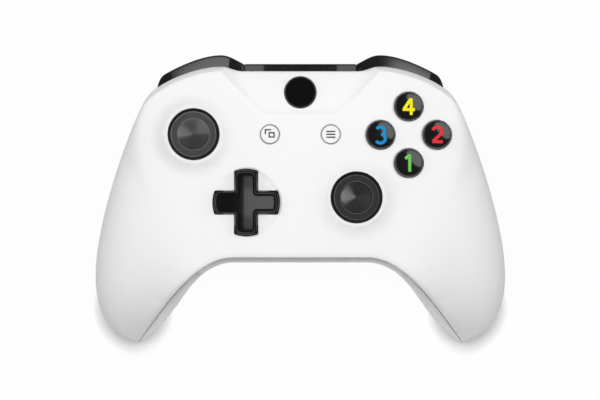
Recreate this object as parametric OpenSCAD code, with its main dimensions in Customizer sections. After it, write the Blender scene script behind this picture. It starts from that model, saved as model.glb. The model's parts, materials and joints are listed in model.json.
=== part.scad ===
// Two-handed gamepad controller: moulded shells, two sticks, a cross pad, face buttons,
// bumpers, sprung triggers, grip motors and a battery bay. Sizes are millimetres.
// Pieces are drawn in the face frame: x to the right along the face, y up along the face,
// z out of the face. place() then lays the controller on its back on the table.

/* [Body] */
// Half width across the grips
grip_half_w = 76.5; // [74:0.5:80]
// Height of the widest point of the grips
grip_wide_y = -28; // [-31:0.5:-25]
// Sideways place of the grip tips
tip_x = 60.8; // [58:0.2:63]
// Height of the grip tips
tip_y = -53.2; // [-56:0.2:-51]
// Height of the faceplate's upper edge
top_y = 48; // [47:0.2:49.5]
// Height of the faceplate's lower edge between the grips
waist_y = -21.3; // [-23:0.1:-21]
// Half length of the straight lower edge
waist_half = 24.6; // [22:0.2:27]
// Sideways place of the shoulder humps
hump_x = 29.5; // [28:0.1:31]
// Rise of the shoulder humps above the upper edge
hump_rise = 1.7; // [1:0.1:2.2]
// Sideways place of the shoulder corners
shoulder_x = 57; // [56:0.2:58.5]
// Drop of the shoulder corners below the upper edge
shoulder_drop = 9.8; // [9:0.2:11]
// Wall of the moulded shells
wall = 2.2; // [1.8:0.1:2.6]
// Gap along the parting lines
seam = 0.2; // [0.1:0.05:0.3]
// How far the grips droop below the face
grip_droop = 28; // [26:0.5:30]
// How far the back bulges past the faceplate on the inner side
rear_bulge = 1.8; // [1.2:0.1:2.6]
// Lean of the face when the controller lies on the table
rest_tilt = 12; // [10:0.5:14]

/* [Sticks] */
// Left stick, sideways from the middle
left_stick_x = -39.5; // [-41:0.1:-38]
// Left stick, height on the face
left_stick_y = 24.5; // [23.5:0.1:25.5]
// Right stick, sideways from the middle
right_stick_x = 20.8; // [20:0.1:22]
// Right stick, height on the face
right_stick_y = 1.1; // [0:0.1:2]
// Radius of a stick cap
cap_r = 9.65; // [9:0.05:10]
// Height of the cap's rim above the face
cap_top = 9.5; // [9:0.1:11]
// Thickness of the cap
cap_t = 3.5; // [3:0.1:3.8]
// Radius of the dished circle in the cap
cap_dish_r = 5.9; // [5:0.1:6.5]
// Radius of the stem under the cap
stem_r = 3.7; // [3.4:0.1:4]
// Depth of the gimbal centre below the face
pivot_depth = 9.5; // [9.2:0.1:10]
// Radius of the dome that hides the gimbal
dome_r = 11.5; // [11.3:0.05:11.6]
// Outer radius of the raised collar
collar_r = 11.3; // [11.2:0.05:11.8]
// Height of the collar above the face
collar_h = 1.8; // [1.5:0.1:2]
// Outer radius of the mound round the collar
mound_r = 16.8; // [15:0.2:17.2]
// Radius of the stick shaft
shaft_r = 2; // [1.8:0.05:2.2]
// Side of the square gimbal case
case_side = 13; // [12.6:0.1:13.2]

/* [Cross pad] */
// Cross pad, sideways from the middle
dpad_x = -20.1; // [-21:0.1:-19.5]
// Cross pad, height on the face
dpad_y = -0.8; // [-1.5:0.1:0.5]
// Radius to the ends of the arms
dpad_r = 12; // [11.5:0.1:12.8]
// Width of an arm
dpad_arm = 7.9; // [7.5:0.05:9]
// Height of the arms above the face
dpad_top = 1.9; // [1.5:0.1:2.5]
// Depth of the dish in the face round the cross
dish_depth = 0.9; // [0.5:0.1:1]

/* [Buttons] */
// Middle of the face button diamond, sideways
diamond_x = 40.3; // [39.5:0.1:40.8]
// Middle of the face button diamond, height
diamond_y = 24.3; // [23.5:0.1:25]
// Distance of each face button from the middle of the diamond
diamond_r = 10.5; // [10.2:0.1:11]
// Radius of a face button
button_r = 5.3; // [5:0.05:5.6]
// Height of a face button above the face
button_top = 2.3; // [2:0.1:3]
// Radius of the guide button
guide_r = 5.8; // [5.4:0.1:6.2]
// Guide button, below the upper edge
guide_drop = 7.9; // [7.6:0.1:8.4]
// Radius of the view and menu buttons
small_r = 3.45; // [3.2:0.05:3.8]
// Sideways place of the view and menu buttons
small_x = 11.3; // [10.5:0.1:12]
// Height of the view and menu buttons on the face
small_y = 24.5; // [23.5:0.1:25.5]
// Slope of the panel round the guide button, degrees
panel_slope = 8; // [6:0.5:9]
// Panel's lower crease, below the upper edge
panel_drop = 15.5; // [15:0.1:16]
// Half length of the panel's lower crease
panel_half = 13.1; // [12:0.1:14]

/* [Bumpers and triggers] */
// Half width of the strip between the bumpers
bridge_half = 20.6; // [20:0.1:21]
// Rise of the strip above the upper edge
bridge_rise = 2.7; // [2.4:0.1:3.2]
// Rise of a bumper's hump above the upper edge
bumper_rise = 6; // [5.5:0.1:6.5]
// Depth of the bumpers' rear face below the face
bumper_back = 19.5; // [18:0.1:19.8]
// Inner side of a trigger, sideways
trigger_in = 22; // [21.8:0.1:22.5]
// Outer side of a trigger, sideways
trigger_out = 52.3; // [51:0.1:52.6]
// Trigger pins, below the upper edge
trigger_pin_drop = 8; // [7.8:0.1:8.5]
// Radius of the trigger pins
trigger_pin_r = 1.25; // [1:0.05:1.5]
// Thickness of a trigger at its tip
trigger_tip_t = 3.4; // [3:0.1:4]

/* [Inside] */
// Depth of the main board below the face
board_depth = 15.5; // [15.2:0.1:16]
// Thickness of the boards
board_t = 1.6; // [1.2:0.1:1.8]
// Space between the main board and the frame
frame_gap = 1; // [0.8:0.1:1.4]
// Thickness of the frame's plate and tub walls
frame_t = 1.6; // [1.4:0.1:1.8]
// Diameter of a battery cell
cell_d = 14.2; // [14:0.1:14.5]
// Length of a battery cell
cell_len = 50.2; // [49.5:0.1:50.5]
// Middle of the battery bay, height on the face
bay_y = 3; // [2:0.1:3.4]
// Thickness of the battery door
door_t = 2; // [1.6:0.1:2.2]
// Radius of a grip motor's can
motor_r = 7.5; // [7:0.1:7.8]
// Length of a grip motor's can
motor_len = 12; // [10:0.5:12.5]
// Grip motors' axes, in from the widest side of the grips
motor_in = 16.5; // [16:0.1:17]
// Depth of the grip motors' axes below the face
motor_depth = 22.5; // [22:0.1:23]
// Radius of the headset jack's bore
jack_r = 1.78; // [1.7:0.01:1.85]
// Headset jack, sideways from the middle
jack_x = 7.5; // [6.5:0.1:8]

/* [Hidden] */
$fn = 48;

// Play between pieces that move past each other, and between a shaft and its bore
gap = 0.3;
slip = 0.05;
// Play round the buttons in the face, round the sockets in the edges, and past a cutter's ends
hole_gap = 0.25;
port_gap = 0.4;
over = 1;
// Half the height of the cutters that go through the face
cut = 8;

// Inside stack, from the main board back to the door
board_top = -board_depth;
board_under = board_top - board_t;
frame_top = board_under - frame_gap;
frame_under = frame_top - frame_t;
cell_z = frame_under - 1.2 - cell_d / 2;
door_in = cell_z - cell_d / 2 - 1.4;
back_z = door_in - door_t;
pivot_z = -pivot_depth;
hump_y = top_y + hump_rise;
shoulder_y = top_y - shoulder_drop;
guide_y = top_y - guide_drop;
panel_y = top_y - panel_drop;
bridge_y = top_y + bridge_rise;
trigger_pin_y = top_y - trigger_pin_drop;
motor_x = grip_half_w - motor_in;

// Outline of the faceplate: cubic curves between the named corners
hump_start = 21.5;
hump_curve = [[hump_start, top_y], [hump_start + 3, top_y], [hump_x - 3, hump_y], [hump_x, hump_y]];
shoulder_curve = [
    [hump_x, hump_y], [hump_x + 8.5, hump_y],
    [shoulder_x - 4.5, shoulder_y + 6.3], [shoulder_x, shoulder_y]
];
side_curve = [
    [shoulder_x, shoulder_y], [shoulder_x + 5, shoulder_y - 7],
    [grip_half_w, grip_wide_y + 21], [grip_half_w, grip_wide_y]
];
end_curve = [
    [grip_half_w, grip_wide_y], [grip_half_w + 0.3, grip_wide_y - 10.5],
    [tip_x + 12.2, tip_y + 2.2], [tip_x, tip_y]
];
inner_curve = [
    [waist_half, waist_y], [waist_half + 13.9, waist_y + 0.3],
    [tip_x - 10.3, tip_y + 14.2], [tip_x, tip_y]
];

// Stations along the body: 0 is the middle, the corners fall on whole numbers, the last is the tip
s_hump0 = 3;
s_hump = 6;
s_shoulder = 11;
s_split = 12;
s_wide = 18;
s_tip = 24;
// Points of a row: even turns from the outer to the inner side, and one more on the ledge
turns = 16;
rows = turns + 1;

function mix(a, b, t) = a + (b - a) * t;
function ease(x, a, b) = let (t = min(1, max(0, (x - a) / (b - a)))) t * t * (3 - 2 * t);
function bez(c, t) =
    c[0] * pow(1 - t, 3) + c[1] * 3 * t * pow(1 - t, 2) + c[2] * 3 * t * t * (1 - t) + c[3] * pow(t, 3);
function span(s, a, b) = (s - a) / (b - a);

function outer_rail(s) =
    s <= s_hump0 ? [hump_start * s / s_hump0, top_y] :
    s <= s_hump ? bez(hump_curve, span(s, s_hump0, s_hump)) :
    s <= s_shoulder ? bez(shoulder_curve, span(s, s_hump, s_shoulder)) :
    s <= s_wide ? bez(side_curve, span(s, s_shoulder, s_wide)) :
    bez(end_curve, span(s, s_wide, s_tip));
function inner_rail(s) =
    s <= s_hump ? [waist_half * s / s_hump, waist_y] : bez(inner_curve, span(s, s_hump, s_tip));

// Unit vector pointing into the body, square to the outer rail
function inward(s) =
    let (d = outer_rail(min(s_tip, s + 0.05)) - outer_rail(max(0, s - 0.05)))
    [d[1], -d[0]] / norm(d);

// Height of the parting line on the outer and inner sides
rim_z = -6.5;
rim_in_z = -8;
tip_z = -31.4;
function outer_rim(p) = mix(rim_z, tip_z, (top_y - p[1]) / (top_y - tip_y));
function inner_rim(p) = mix(rim_in_z, tip_z, (waist_y - p[1]) / (waist_y - tip_y));

// Crown of the face: a slight curve across, drooping along the grips and steepest at their tips
face_crown = 0.0006;
droop_start = 8;
function face_z(x) = -face_crown * x * x;
function droop(y) =
    let (t = max(0, droop_start - y) / (droop_start - tip_y))
    -grip_droop * mix(pow(t, 2), pow(t, 6), 0.45);

// Depth of the back, shallow under the fingers and full again at the heel of the grip
function back_depth_at(y) =
    back_z + 3.2 * ease(-y, -7, 20) - 1.7 * ease(-y, 20, 40) + 4.2 * ease(-y, 42, 54);

// How square the edges are: high is crisp, 2 is round
function front_outer_edge(s) = mix(7, 2.4, ease(s, 9, 14));
function front_inner_edge(s) = mix(12, 5, ease(s, 8, 20));
function rear_outer_edge(s) = mix(5, 2.3, ease(s, 10, 15));
function rear_inner_edge(s) = mix(6, 2.5, ease(s, 9, 16));

// Rear rail, set back under the bumpers and the bridge
bumper_recess = 3.4;
function rear_rail(s) = outer_rail(s) + inward(s) * bumper_recess * (1 - ease(s, 9.6, 11.6));

// On the inner side the back steps out past the faceplate, fullest on the grips, and the step is
// done within a ledge that takes this share of the depth
s_full = 19;
function bulge_at(s) =
    rear_bulge * (1 + 0.6 * ease(s, s_split, s_full)) * sqrt(1 - pow(max(0, span(s, s_full, s_tip)), 2));
function ledge(s) = mix(0.07, 0.18, ease(s, 9, s_wide));

// One row of points from the outer to the inner side: back = 0 for the face, 1 for the rear
function row(s, back, inset) =
    let (
        a = back == 1 ? rear_rail(s) : outer_rail(s),
        b = inner_rail(s),
        len = norm(b - a),
        cut = min(inset / len, 0.4),
        mid_y = (a[1] + b[1]) / 2,
        za = outer_rim(outer_rail(s)) - back * seam,
        zb = inner_rim(b) - back * seam,
        bulge = back * bulge_at(s) / len
    )
    [for (k = [0:rows])
        let (
            p = k < turns / 2 ?
                (back == 1 ? rear_outer_edge(s) : front_outer_edge(s)) :
                (back == 1 ? rear_inner_edge(s) : front_inner_edge(s)),
            turn = k < turns ? 180 * k / turns : 180 - (k < rows ? asin(pow(ledge(s), p / 2)) : 0),
            side = cos(turn),
            across = (1 - sign(side) * pow(abs(side), 2 / p)) / 2,
            lift = k == 0 || k == rows ? 0 : pow(sin(turn), 2 / p),
            swell = k > turns / 2 ? bulge * ease(lift, 0, ledge(s)) * (1 - ease(lift, 0.5, 1)) : 0,
            r = mix(cut, 1 - cut, across) + swell,
            xy = mix(a, b, r),
            rim = mix(za, zb, across),
            crown = back == 1 ? back_depth_at(mid_y) : face_z(xy[0]) + droop(mid_y),
            rise = crown - rim,
            skin = sign(rise) * max(abs(rise) - inset, 0.25 * abs(rise))
        )
        [xy[0], xy[1], rim + skin * lift]];

function flip_x(pts) = [for (p = pts) [-p[0], p[1], p[2]]];
function tip_point(back) = [tip_x, tip_y, tip_z - back * seam];
function tip_inside(back) = mix(tip_point(back), row(s_tip - 1, back, wall)[turns / 2], 0.5);

// Closed skin of two grids of points; a tip is a pair of points that closes one end
module skin(outer, inner, start_tip, end_tip, reversed) {
    w = rows + 1;
    n = len(outer);
    q = n * w;
    t = 2 * q;
    m = n - 1;
    tips = concat(is_undef(start_tip) ? [] : start_tip, is_undef(end_tip) ? [] : end_tip);
    e = is_undef(start_tip) ? t : t + 2;
    grid = [for (i = [0:m - 1], k = [0:rows - 1]) [i * w + k, (i + 1) * w + k]];
    faces = concat(
        [for (g = grid) [g[0], g[1], g[1] + 1]],
        [for (g = grid) [g[0], g[1] + 1, g[0] + 1]],
        [for (g = grid) [q + g[0], q + g[1] + 1, q + g[1]]],
        [for (g = grid) [q + g[0], q + g[0] + 1, q + g[1] + 1]],
        [for (i = [0:m - 1]) [(i + 1) * w, i * w, q + i * w]],
        [for (i = [0:m - 1]) [(i + 1) * w, q + i * w, q + (i + 1) * w]],
        [for (i = [0:m - 1]) [i * w + rows, (i + 1) * w + rows, q + (i + 1) * w + rows]],
        [for (i = [0:m - 1]) [i * w + rows, q + (i + 1) * w + rows, q + i * w + rows]],
        is_undef(start_tip) ? concat(
            [for (k = [0:rows - 1]) [k, k + 1, q + k + 1]],
            [for (k = [0:rows - 1]) [k, q + k + 1, q + k]]
        ) : concat(
            [for (k = [0:rows - 1]) [k, k + 1, t]],
            [for (k = [0:rows - 1]) [q + k + 1, q + k, t + 1]],
            [[0, t, t + 1], [0, t + 1, q], [t, rows, q + rows], [t, q + rows, t + 1]]
        ),
        is_undef(end_tip) ? concat(
            [for (k = [0:rows - 1]) [m * w + k + 1, m * w + k, q + m * w + k]],
            [for (k = [0:rows - 1]) [m * w + k + 1, q + m * w + k, q + m * w + k + 1]]
        ) : concat(
            [for (k = [0:rows - 1]) [m * w + k + 1, m * w + k, e]],
            [for (k = [0:rows - 1]) [q + m * w + k, q + m * w + k + 1, e + 1]],
            [[e, m * w, q + m * w], [e, q + m * w, e + 1]],
            [[m * w + rows, e, e + 1], [m * w + rows, e + 1, q + m * w + rows]]
        )
    );
    points = concat([for (r = outer) each r], [for (r = inner) each r], tips);
    polyhedron(points, reversed ? [for (f = faces) [f[2], f[1], f[0]]] : faces);
}

function half_rows(back, inset, from, to) = [for (s = [from:to]) row(s, back, inset)];
function full_rows(back, inset, to) =
    concat([for (s = [to:-1:1]) flip_x(row(s, back, inset))], half_rows(back, inset, 0, to));

// Table plane: the lowest point of the grips touches it, and the triggers reach it too
lean = tan(rest_tilt);
heel_points = [for (s = [s_wide - 4:s_tip - 1]) each row(s, 1, 0)];
table_drop = max([for (p = heel_points) -p[2] - lean * p[1]]);
function table_at(y) = -table_drop - lean * y;
function along_table(p) = p[1] * cos(rest_tilt) - p[2] * sin(rest_tilt);

module place() {
    translate([0, -(front_reach + back_reach) / 2, table_drop * cos(rest_tilt)])
        rotate([rest_tilt, 0, 0])
            children();
}

// Draws its children on the right (1) or mirrored to the left (-1)
module on_side(side) {
    if (side > 0) {
        children();
    } else {
        mirror([1, 0, 0]) children();
    }
}

sticks = [[left_stick_x, left_stick_y], [right_stick_x, right_stick_y]];
diamond = [[0, 1], [-1, 0], [1, 0], [0, -1]];
function button_at(i) = [diamond_x, diamond_y] + diamond_r * diamond[i];

// Bosses that take the frame screws
boss_r = 2.6;
screw_r = 1;
screw_len = 9;
upper_boss = [17, top_y - 11];
lower_boss = [motor_x - 18, -11];
bosses = [[-upper_boss[0], upper_boss[1]], upper_boss, [-lower_boss[0], lower_boss[1]], lower_boss];

// Front shell
dpad_hole_gap = 0.55;
module cross_2d(grow) {
    intersection() {
        union() {
            square([3 * dpad_r, dpad_arm + 2 * grow], center = true);
            square([dpad_arm + 2 * grow, 3 * dpad_r], center = true);
        }
        circle(dpad_r + grow);
    }
}

// Collar round a stick: a narrow throat, a flared mouth and a mound that runs out into the face
throat_r = 8.8;
throat_z = -1.4;
mouth_r = 9.4;
lip = 0.3;
mound_sink = 0.35;
module collar(x) {
    base = face_z(x);
    flank = [for (t = [0:0.125:1])
        [mix(collar_r, mound_r, t), mix(collar_h - lip, base - mound_sink, 1 - pow(1 - t, 2.4))]];
    rotate_extrude()
        polygon(concat(
            [[throat_r, throat_z], [mouth_r, collar_h - lip], [mouth_r + lip, collar_h]],
            [[collar_r - lip, collar_h]],
            flank,
            [[mound_r, base - wall + mound_sink], [collar_r, base - wall], [throat_r + lip, throat_z - lip]]
        ));
}

// Shallow dish under the cross pad, and the sloped panel round the guide button
dish_r = dpad_r + 0.4;
dish_ball = (dish_r * dish_r + dish_depth * dish_depth) / (2 * dish_depth);
panel_run = top_y - panel_y + over;
panel_edge = [
    [-panel_half, 0], [panel_half, 0],
    [panel_half + panel_run, panel_run], [-panel_half - panel_run, panel_run]
];
module on_panel() {
    translate([0, panel_y, 0]) rotate([-panel_slope, 0, 0]) children();
}

// How far the buttons' flanges reach past them
flange_w = 0.9;
module through(p, r) {
    translate([p[0], p[1], -cut]) cylinder(r = r, h = 2 * cut);
}
module front_shell() {
    color("white") place() difference() {
        union() {
            difference() {
                skin(
                    full_rows(0, 0, s_tip - 1), full_rows(0, wall, s_tip - 1),
                    flip_x([tip_point(0), tip_inside(0)]), [tip_point(0), tip_inside(0)], false
                );
                for (p = sticks) through(p, collar_r - lip);
                on_panel() linear_extrude(cut) polygon(panel_edge);
            }
            for (p = sticks) translate([p[0], p[1], 0]) collar(p[0]);
            on_panel() translate([0, 0, -wall]) linear_extrude(wall)
                polygon([for (p = panel_edge) [p[0], min(p[1], panel_run - wall - over)]]);
            for (p = bosses) translate([p[0], p[1], frame_top])
                cylinder(r = boss_r, h = -frame_top - wall);
        }
        translate([dpad_x, dpad_y, face_z(dpad_x) + dish_ball - dish_depth]) sphere(dish_ball, $fn = 180);
        translate([dpad_x, dpad_y, -cut]) linear_extrude(2 * cut) cross_2d(dpad_hole_gap);
        for (i = [0:3]) through(button_at(i), button_r + hole_gap);
        for (x = [-small_x, small_x]) through([x, small_y], small_r + hole_gap);
        through([0, guide_y], guide_r + hole_gap);
        translate([0, guide_y, -cut]) cylinder(r = guide_r + flange_w + gap, h = cut + guide_flange + gap);
        for (p = bosses) translate([p[0], p[1], frame_top - over])
            cylinder(r = screw_r + slip, h = screw_len + over);
    }
}

// Rear shell, with bays for the triggers and an opening for the battery door
trigger_play = 1.2;
trigger_bay_in = trigger_in - trigger_play;
trigger_bay_out = trigger_out + trigger_play;
trigger_bay_y = top_y - 18.5;
trigger_bay_z = -14.5;
bay_wall_top = frame_under - 1;
bay_wall_low = back_z + wall - 0.6;
bay_wall = [
    [trigger_bay_in - wall, bay_wall_top], [trigger_bay_out, bay_wall_top],
    [trigger_bay_out, bay_wall_top - 8], [trigger_bay_out - 7, bay_wall_low],
    [trigger_bay_in - wall, bay_wall_low]
];
bay_len = cell_len + 6;
bay_wide = 2 * cell_d + 2;
door_lap = 4.5;
door_half_x = bay_len / 2 + door_lap;
door_half_y = bay_wide / 2 + door_lap;
door_corner = 4;
// Room in depth that the rounded back takes up within the door's outline
back_rise = 12;
module door_2d(grow) {
    x = door_half_x + grow;
    y = door_half_y + grow;
    c = door_corner;
    polygon([
        [c - x, -y], [x - c, -y], [x, c - y], [x, y - c], [x - c, y], [c - x, y], [-x, y - c], [-x, c - y]
    ]);
}
module door_prism(grow) {
    translate([0, bay_y, back_z - over]) linear_extrude(back_rise + 2 * over) door_2d(grow);
}

// Sockets in the lower and upper edges
port_cut = 9;
port_y = waist_y - 6;
jack_h = 5.8;
jack_z = board_top + jack_h / 2;
snout_r = 2.45;
slot_x = -6;
slot_w = 11;
slot_h = 4;
usb_w = 7.6;
usb_h = 2.8;
usb_z = board_under - usb_h / 2;
usb_y = top_y - 12;
usb_t = 0.4;
switch_x = hump_x;
switch_y = top_y - 9;
switch_h = 4.4;
module slot_along_y(w, h, len) {
    rotate([-90, 0, 0]) linear_extrude(len) union() {
        square([w - h, h], center = true);
        for (x = [-1, 1]) translate([x * (w - h) / 2, 0]) circle(h / 2);
    }
}

module rear_shell() {
    color("whitesmoke") place() difference() {
        union() {
            difference() {
                skin(full_rows(1, 0, s_split), full_rows(1, wall, s_split), undef, undef, true);
                for (side = [-1, 1]) on_side(side)
                    translate([trigger_bay_in, trigger_bay_y, 2 * back_z])
                        cube([trigger_bay_out - trigger_bay_in, top_y, trigger_bay_z - 2 * back_z]);
            }
            for (side = [-1, 1]) on_side(side) translate([0, trigger_bay_y, 0])
                rotate([90, 0, 0]) linear_extrude(wall) polygon(bay_wall);
        }
        door_prism(gap);
        translate([jack_x, port_y, jack_z]) rotate([-90, 0, 0]) cylinder(r = snout_r + gap, h = port_cut);
        translate([slot_x, port_y, jack_z]) slot_along_y(slot_w + 2 * gap, slot_h + 2 * gap, port_cut);
        translate([0, top_y - port_cut, usb_z])
            slot_along_y(usb_w + 2 * port_gap, usb_h + 2 * port_gap, port_cut);
        for (side = [-1, 1]) translate([side * switch_x, switch_y, board_top + switch_h / 2])
            rotate([-90, 0, 0]) cylinder(r = plunger_r + gap, h = hump_y - switch_y);
    }
}

// Handle backs, parted from the rear shell by a fine seam
cover_seam = 0.035;
module grip_cover(side) {
    color("gainsboro") place() on_side(side) {
        list = concat([s_split + cover_seam], [for (s = [s_split + 1:s_tip - 1]) s]);
        skin(
            [for (s = list) row(s, 1, 0)], [for (s = list) row(s, 1, wall)],
            undef, [tip_point(1), tip_inside(1)], true
        );
    }
}
module left_grip_cover() grip_cover(-1);
module right_grip_cover() grip_cover(1);

// Bridge between the bumpers, with the bumpers' hinge pins
bridge_front = rim_z - gap;
bridge_back = -23.4;
bridge_t = 2;
bridge_in = top_y - bumper_recess + gap;
hinge_x = bridge_half + 2;
hinge_y = top_y + 0.4;
hinge_r = 1;
hinge_tab = 3.2;
hinge_len = 11;
sync_x = 14.5;
sync_r = 1.8;
sync_lip = 0.55;
module top_bridge() {
    color("black") place() difference() {
        union() {
            translate([-bridge_half, bridge_in, bridge_back])
                cube([2 * bridge_half, bridge_y - bridge_in, bridge_front - bridge_back]);
            for (side = [-1, 1]) on_side(side) {
                translate([bridge_half - bridge_t, hinge_y - hinge_tab / 2, -bumper_back - bridge_t - gap])
                    cube([2 * bridge_t + hinge_r, hinge_tab, bridge_t]);
                translate([hinge_x, hinge_y, -bumper_back - 2 * gap]) cylinder(r = hinge_r, h = hinge_len);
            }
        }
        translate([bridge_t - bridge_half, bridge_in - over, bridge_back + bridge_t])
            cube([
                2 * (bridge_half - bridge_t), bridge_y - bridge_in + over - bridge_t,
                bridge_front - bridge_back - 2 * bridge_t
            ]);
        translate([0, bridge_in, usb_z])
            slot_along_y(usb_w + 4 * port_gap, usb_h + 4 * port_gap, port_cut);
        translate([sync_x, bridge_in, usb_z]) rotate([-90, 0, 0]) cylinder(r = sync_r + gap, h = port_cut);
    }
}

module sync_button() {
    color("black") place() translate([sync_x, top_y - 2, usb_z]) rotate([-90, 0, 0]) {
        cylinder(r = sync_r, h = bridge_y - top_y + 2);
        cylinder(r = sync_r + sync_lip, h = 1);
    }
}

// Bumpers: a rail-hugging bar with a rounded outer edge
bumper_start = [bridge_half + 0.4, bridge_y];
bumper_hump = [hump_x, top_y + bumper_rise];
bumper_corner = [50.2, top_y - 0.9];
bumper_end = [53.2, top_y - 5.8];
bumper_rise_curve = [bumper_start, bumper_start + [3, 1.5], bumper_hump - [3, 0], bumper_hump];
bumper_fall_curve = [bumper_hump, bumper_hump + [6.5, 0], bumper_corner + [-6.2, 3.4], bumper_corner];
bumper_end_curve = [bumper_corner, bumper_corner + [1.4, -0.8], bumper_end + [-0.6, 2.8], bumper_end];
function bumper_edge(t) =
    t <= 3 ? bez(bumper_rise_curve, t / 3) :
    t <= 8 ? bez(bumper_fall_curve, (t - 3) / 5) :
    bez(bumper_end_curve, (t - 8) / 3);
// Rail stations opposite the bumper's stations
s_corner = 9.35;
function bumper_station(t) =
    t <= 3 ? mix(s_hump0 - 0.07, s_hump, t / 3) :
    t <= 8 ? mix(s_hump, s_corner, (t - 3) / 5) :
    mix(s_corner, s_corner + 0.55, (t - 8) / 3);
bumper_inset = 1.6;
bumper_round = 1.2;
function bumper_row(t) =
    let (
        s = bumper_station(t),
        n = outer_rail(s) + inward(s) * bumper_inset,
        e = bumper_edge(t),
        d = (e - n) / norm(e - n),
        r = min(bumper_round, 0.4 * norm(e - n)),
        f = outer_rim(outer_rail(s)) - gap,
        b = -bumper_back,
        arc = [for (a = [0:30:90]) [sin(a), cos(a)]]
    )
    concat(
        [[n[0], n[1], f]],
        [for (a = arc) let (p = e - d * r * (1 - a[0])) [p[0], p[1], f - r * (1 - a[1])]],
        [for (i = [3:-1:0])
            let (a = arc[i], p = e - d * r * (1 - a[0])) [p[0], p[1], b + r * (1 - a[1])]],
        [[n[0], n[1], b]]
    );
// Closed bar through rows of points; each flat end is a strip that zigzags across its outline
module bar(list) {
    n = len(list[0]);
    m = len(list) - 1;
    sides = [for (i = [0:m - 1], k = [0:n - 1])
        let (a = i * n + k, b = i * n + (k + 1) % n) each [[a, b, b + n], [a, b + n, a + n]]];
    zig = [for (i = [0:n - 1]) i % 2 == 0 ? i / 2 : n - (i + 1) / 2];
    strip = [for (i = [0:n - 3]) [zig[i], zig[i + 1 + i % 2], zig[i + 2 - i % 2]]];
    ends = concat(strip, [for (f = strip) [m * n + f[0], m * n + f[2], m * n + f[1]]]);
    polyhedron([for (r = list) each r], concat(sides, ends));
}

module bumper(side) {
    color("black") place() on_side(side) difference() {
        bar([for (t = [0:11]) bumper_row(t)]);
        translate([hinge_x, hinge_y, -bumper_back - over]) cylinder(r = hinge_r + slip, h = bumper_back);
    }
}
module left_bumper() bumper(-1);
module right_bumper() bumper(1);

// Triggers: a hooked finger lever, swept along the pin with the shoulder's fall
pin_z = frame_under - 1;
ear_r = 2.7;
ear_t = 3;
lug_t = 2;
lug_in = trigger_in + 0.8;
lug_out = trigger_out - 9.3;
lug_span = lug_out + lug_t - lug_in;
pin_out = 0.4;
trigger_tip_y = top_y - 0.8;
trigger_top_z = -bumper_back - 1.7;
// Handles of the curves down the finger side and up the inner side: height from the tip, and depth
tip_round = 1;
trigger_face = [[-1, trigger_top_z], [3.3, -27], [-4.8, -42]];
trigger_inside = [[-8.2, -43], [-9.6, -31], [-10.6, trigger_top_z]];
function shoulder_fall(x) = -0.0135 * pow(max(0, x - hump_x), 2);
function trigger_row(x) =
    let (
        trim = x == trigger_in || x == trigger_out ? 0.7 : 0,
        dy = shoulder_fall(x),
        ty = trigger_tip_y + dy - trim,
        iy = trigger_tip_y - trigger_tip_t + dy + trim,
        low = (ty + iy) / 2,
        face = concat([for (p = trigger_face) p + [ty, 0]], [[ty, table_at(ty) + tip_round]]),
        back_y = trigger_tip_y + 0.4 * dy + trim,
        inner = concat([[iy, table_at(iy) + tip_round]], [for (p = trigger_inside) p + [back_y, 0]])
    )
    concat(
        [for (t = [0:0.125:1]) let (p = bez(face, t)) [x, p[0], p[1]]],
        [[x, mix(ty, low, 0.45), table_at(low) + gap + trim], [x, low, table_at(low) + trim]],
        [for (t = [0:0.2:1]) let (p = bez(inner, t)) [x, p[0], p[1]]]
    );
trigger_xs = concat(
    [trigger_in], [for (i = [0:7]) mix(trigger_in + 1.2, trigger_out - 1.2, i / 7)], [trigger_out]
);
trigger_rows = [for (x = trigger_xs) trigger_row(x)];

buzz_r = 2.9;
buzz_y = trigger_tip_y - 4.3;
buzz_z = -29;
buzz_in = 1;
buzz_len = 10.5;
buzz_pocket = 16.5;
buzz_shaft_r = 0.5;
buzz_shaft_len = 3.6;
buzz_weight_len = 3;
module along_x(x, y, z) {
    translate([x, y, z]) rotate([0, 90, 0]) children();
}
module on_pin(x) {
    along_x(x, trigger_pin_y, pin_z) children();
}
module trigger_ear(x) {
    on_pin(x) cylinder(r = ear_r, h = ear_t);
    translate([x, trigger_pin_y - ear_r, pin_z - ear_r - 2 * gap])
        cube([ear_t, 2 * ear_r, ear_r + 2 * gap]);
}
module trigger(side) {
    color("black") place() on_side(side) difference() {
        union() {
            difference() {
                bar(trigger_rows);
                on_pin(trigger_in - over)
                    cylinder(r = ear_r + gap, h = lug_in - trigger_in + lug_span + pin_out + gap + over);
            }
            trigger_ear(lug_in + lug_t + gap);
            trigger_ear(lug_out - gap - ear_t);
        }
        on_pin(lug_in) cylinder(r = trigger_pin_r + slip, h = lug_span);
        along_x(trigger_in - over, buzz_y, buzz_z) cylinder(r = buzz_r + 2 * slip, h = buzz_pocket + over);
    }
}
module left_trigger() trigger(-1);
module right_trigger() trigger(1);

module trigger_pin(side) {
    color("silver") place() on_side(side)
        on_pin(lug_in - pin_out) cylinder(r = trigger_pin_r, h = lug_span + 2 * pin_out);
}
module left_trigger_pin() trigger_pin(-1);
module right_trigger_pin() trigger_pin(1);

// Torsion spring round the pin, one unbroken wire
wire_r = 0.35;
coil_r = 1.9;
coil_turns = 5;
coil_play = 1;
coil_x = lug_in + lug_t + gap + ear_t + coil_play;
coil_pitch = (lug_out - gap - ear_t - coil_play - coil_x) / coil_turns;
function coil_at(a) =
    [coil_x + coil_pitch * a / 360, trigger_pin_y + coil_r * cos(a), pin_z + coil_r * sin(a)];
module trigger_spring(side) {
    color("silver") place() on_side(side)
        bar([for (a = [0:45:360 * coil_turns])
            let (c = coil_at(a), out = [0, cos(a), sin(a)])
            [for (b = [0:60:300]) c + wire_r * (cos(b) * out + sin(b) * [1, 0, 0])]]);
}
module left_trigger_spring() trigger_spring(-1);
module right_trigger_spring() trigger_spring(1);

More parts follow.
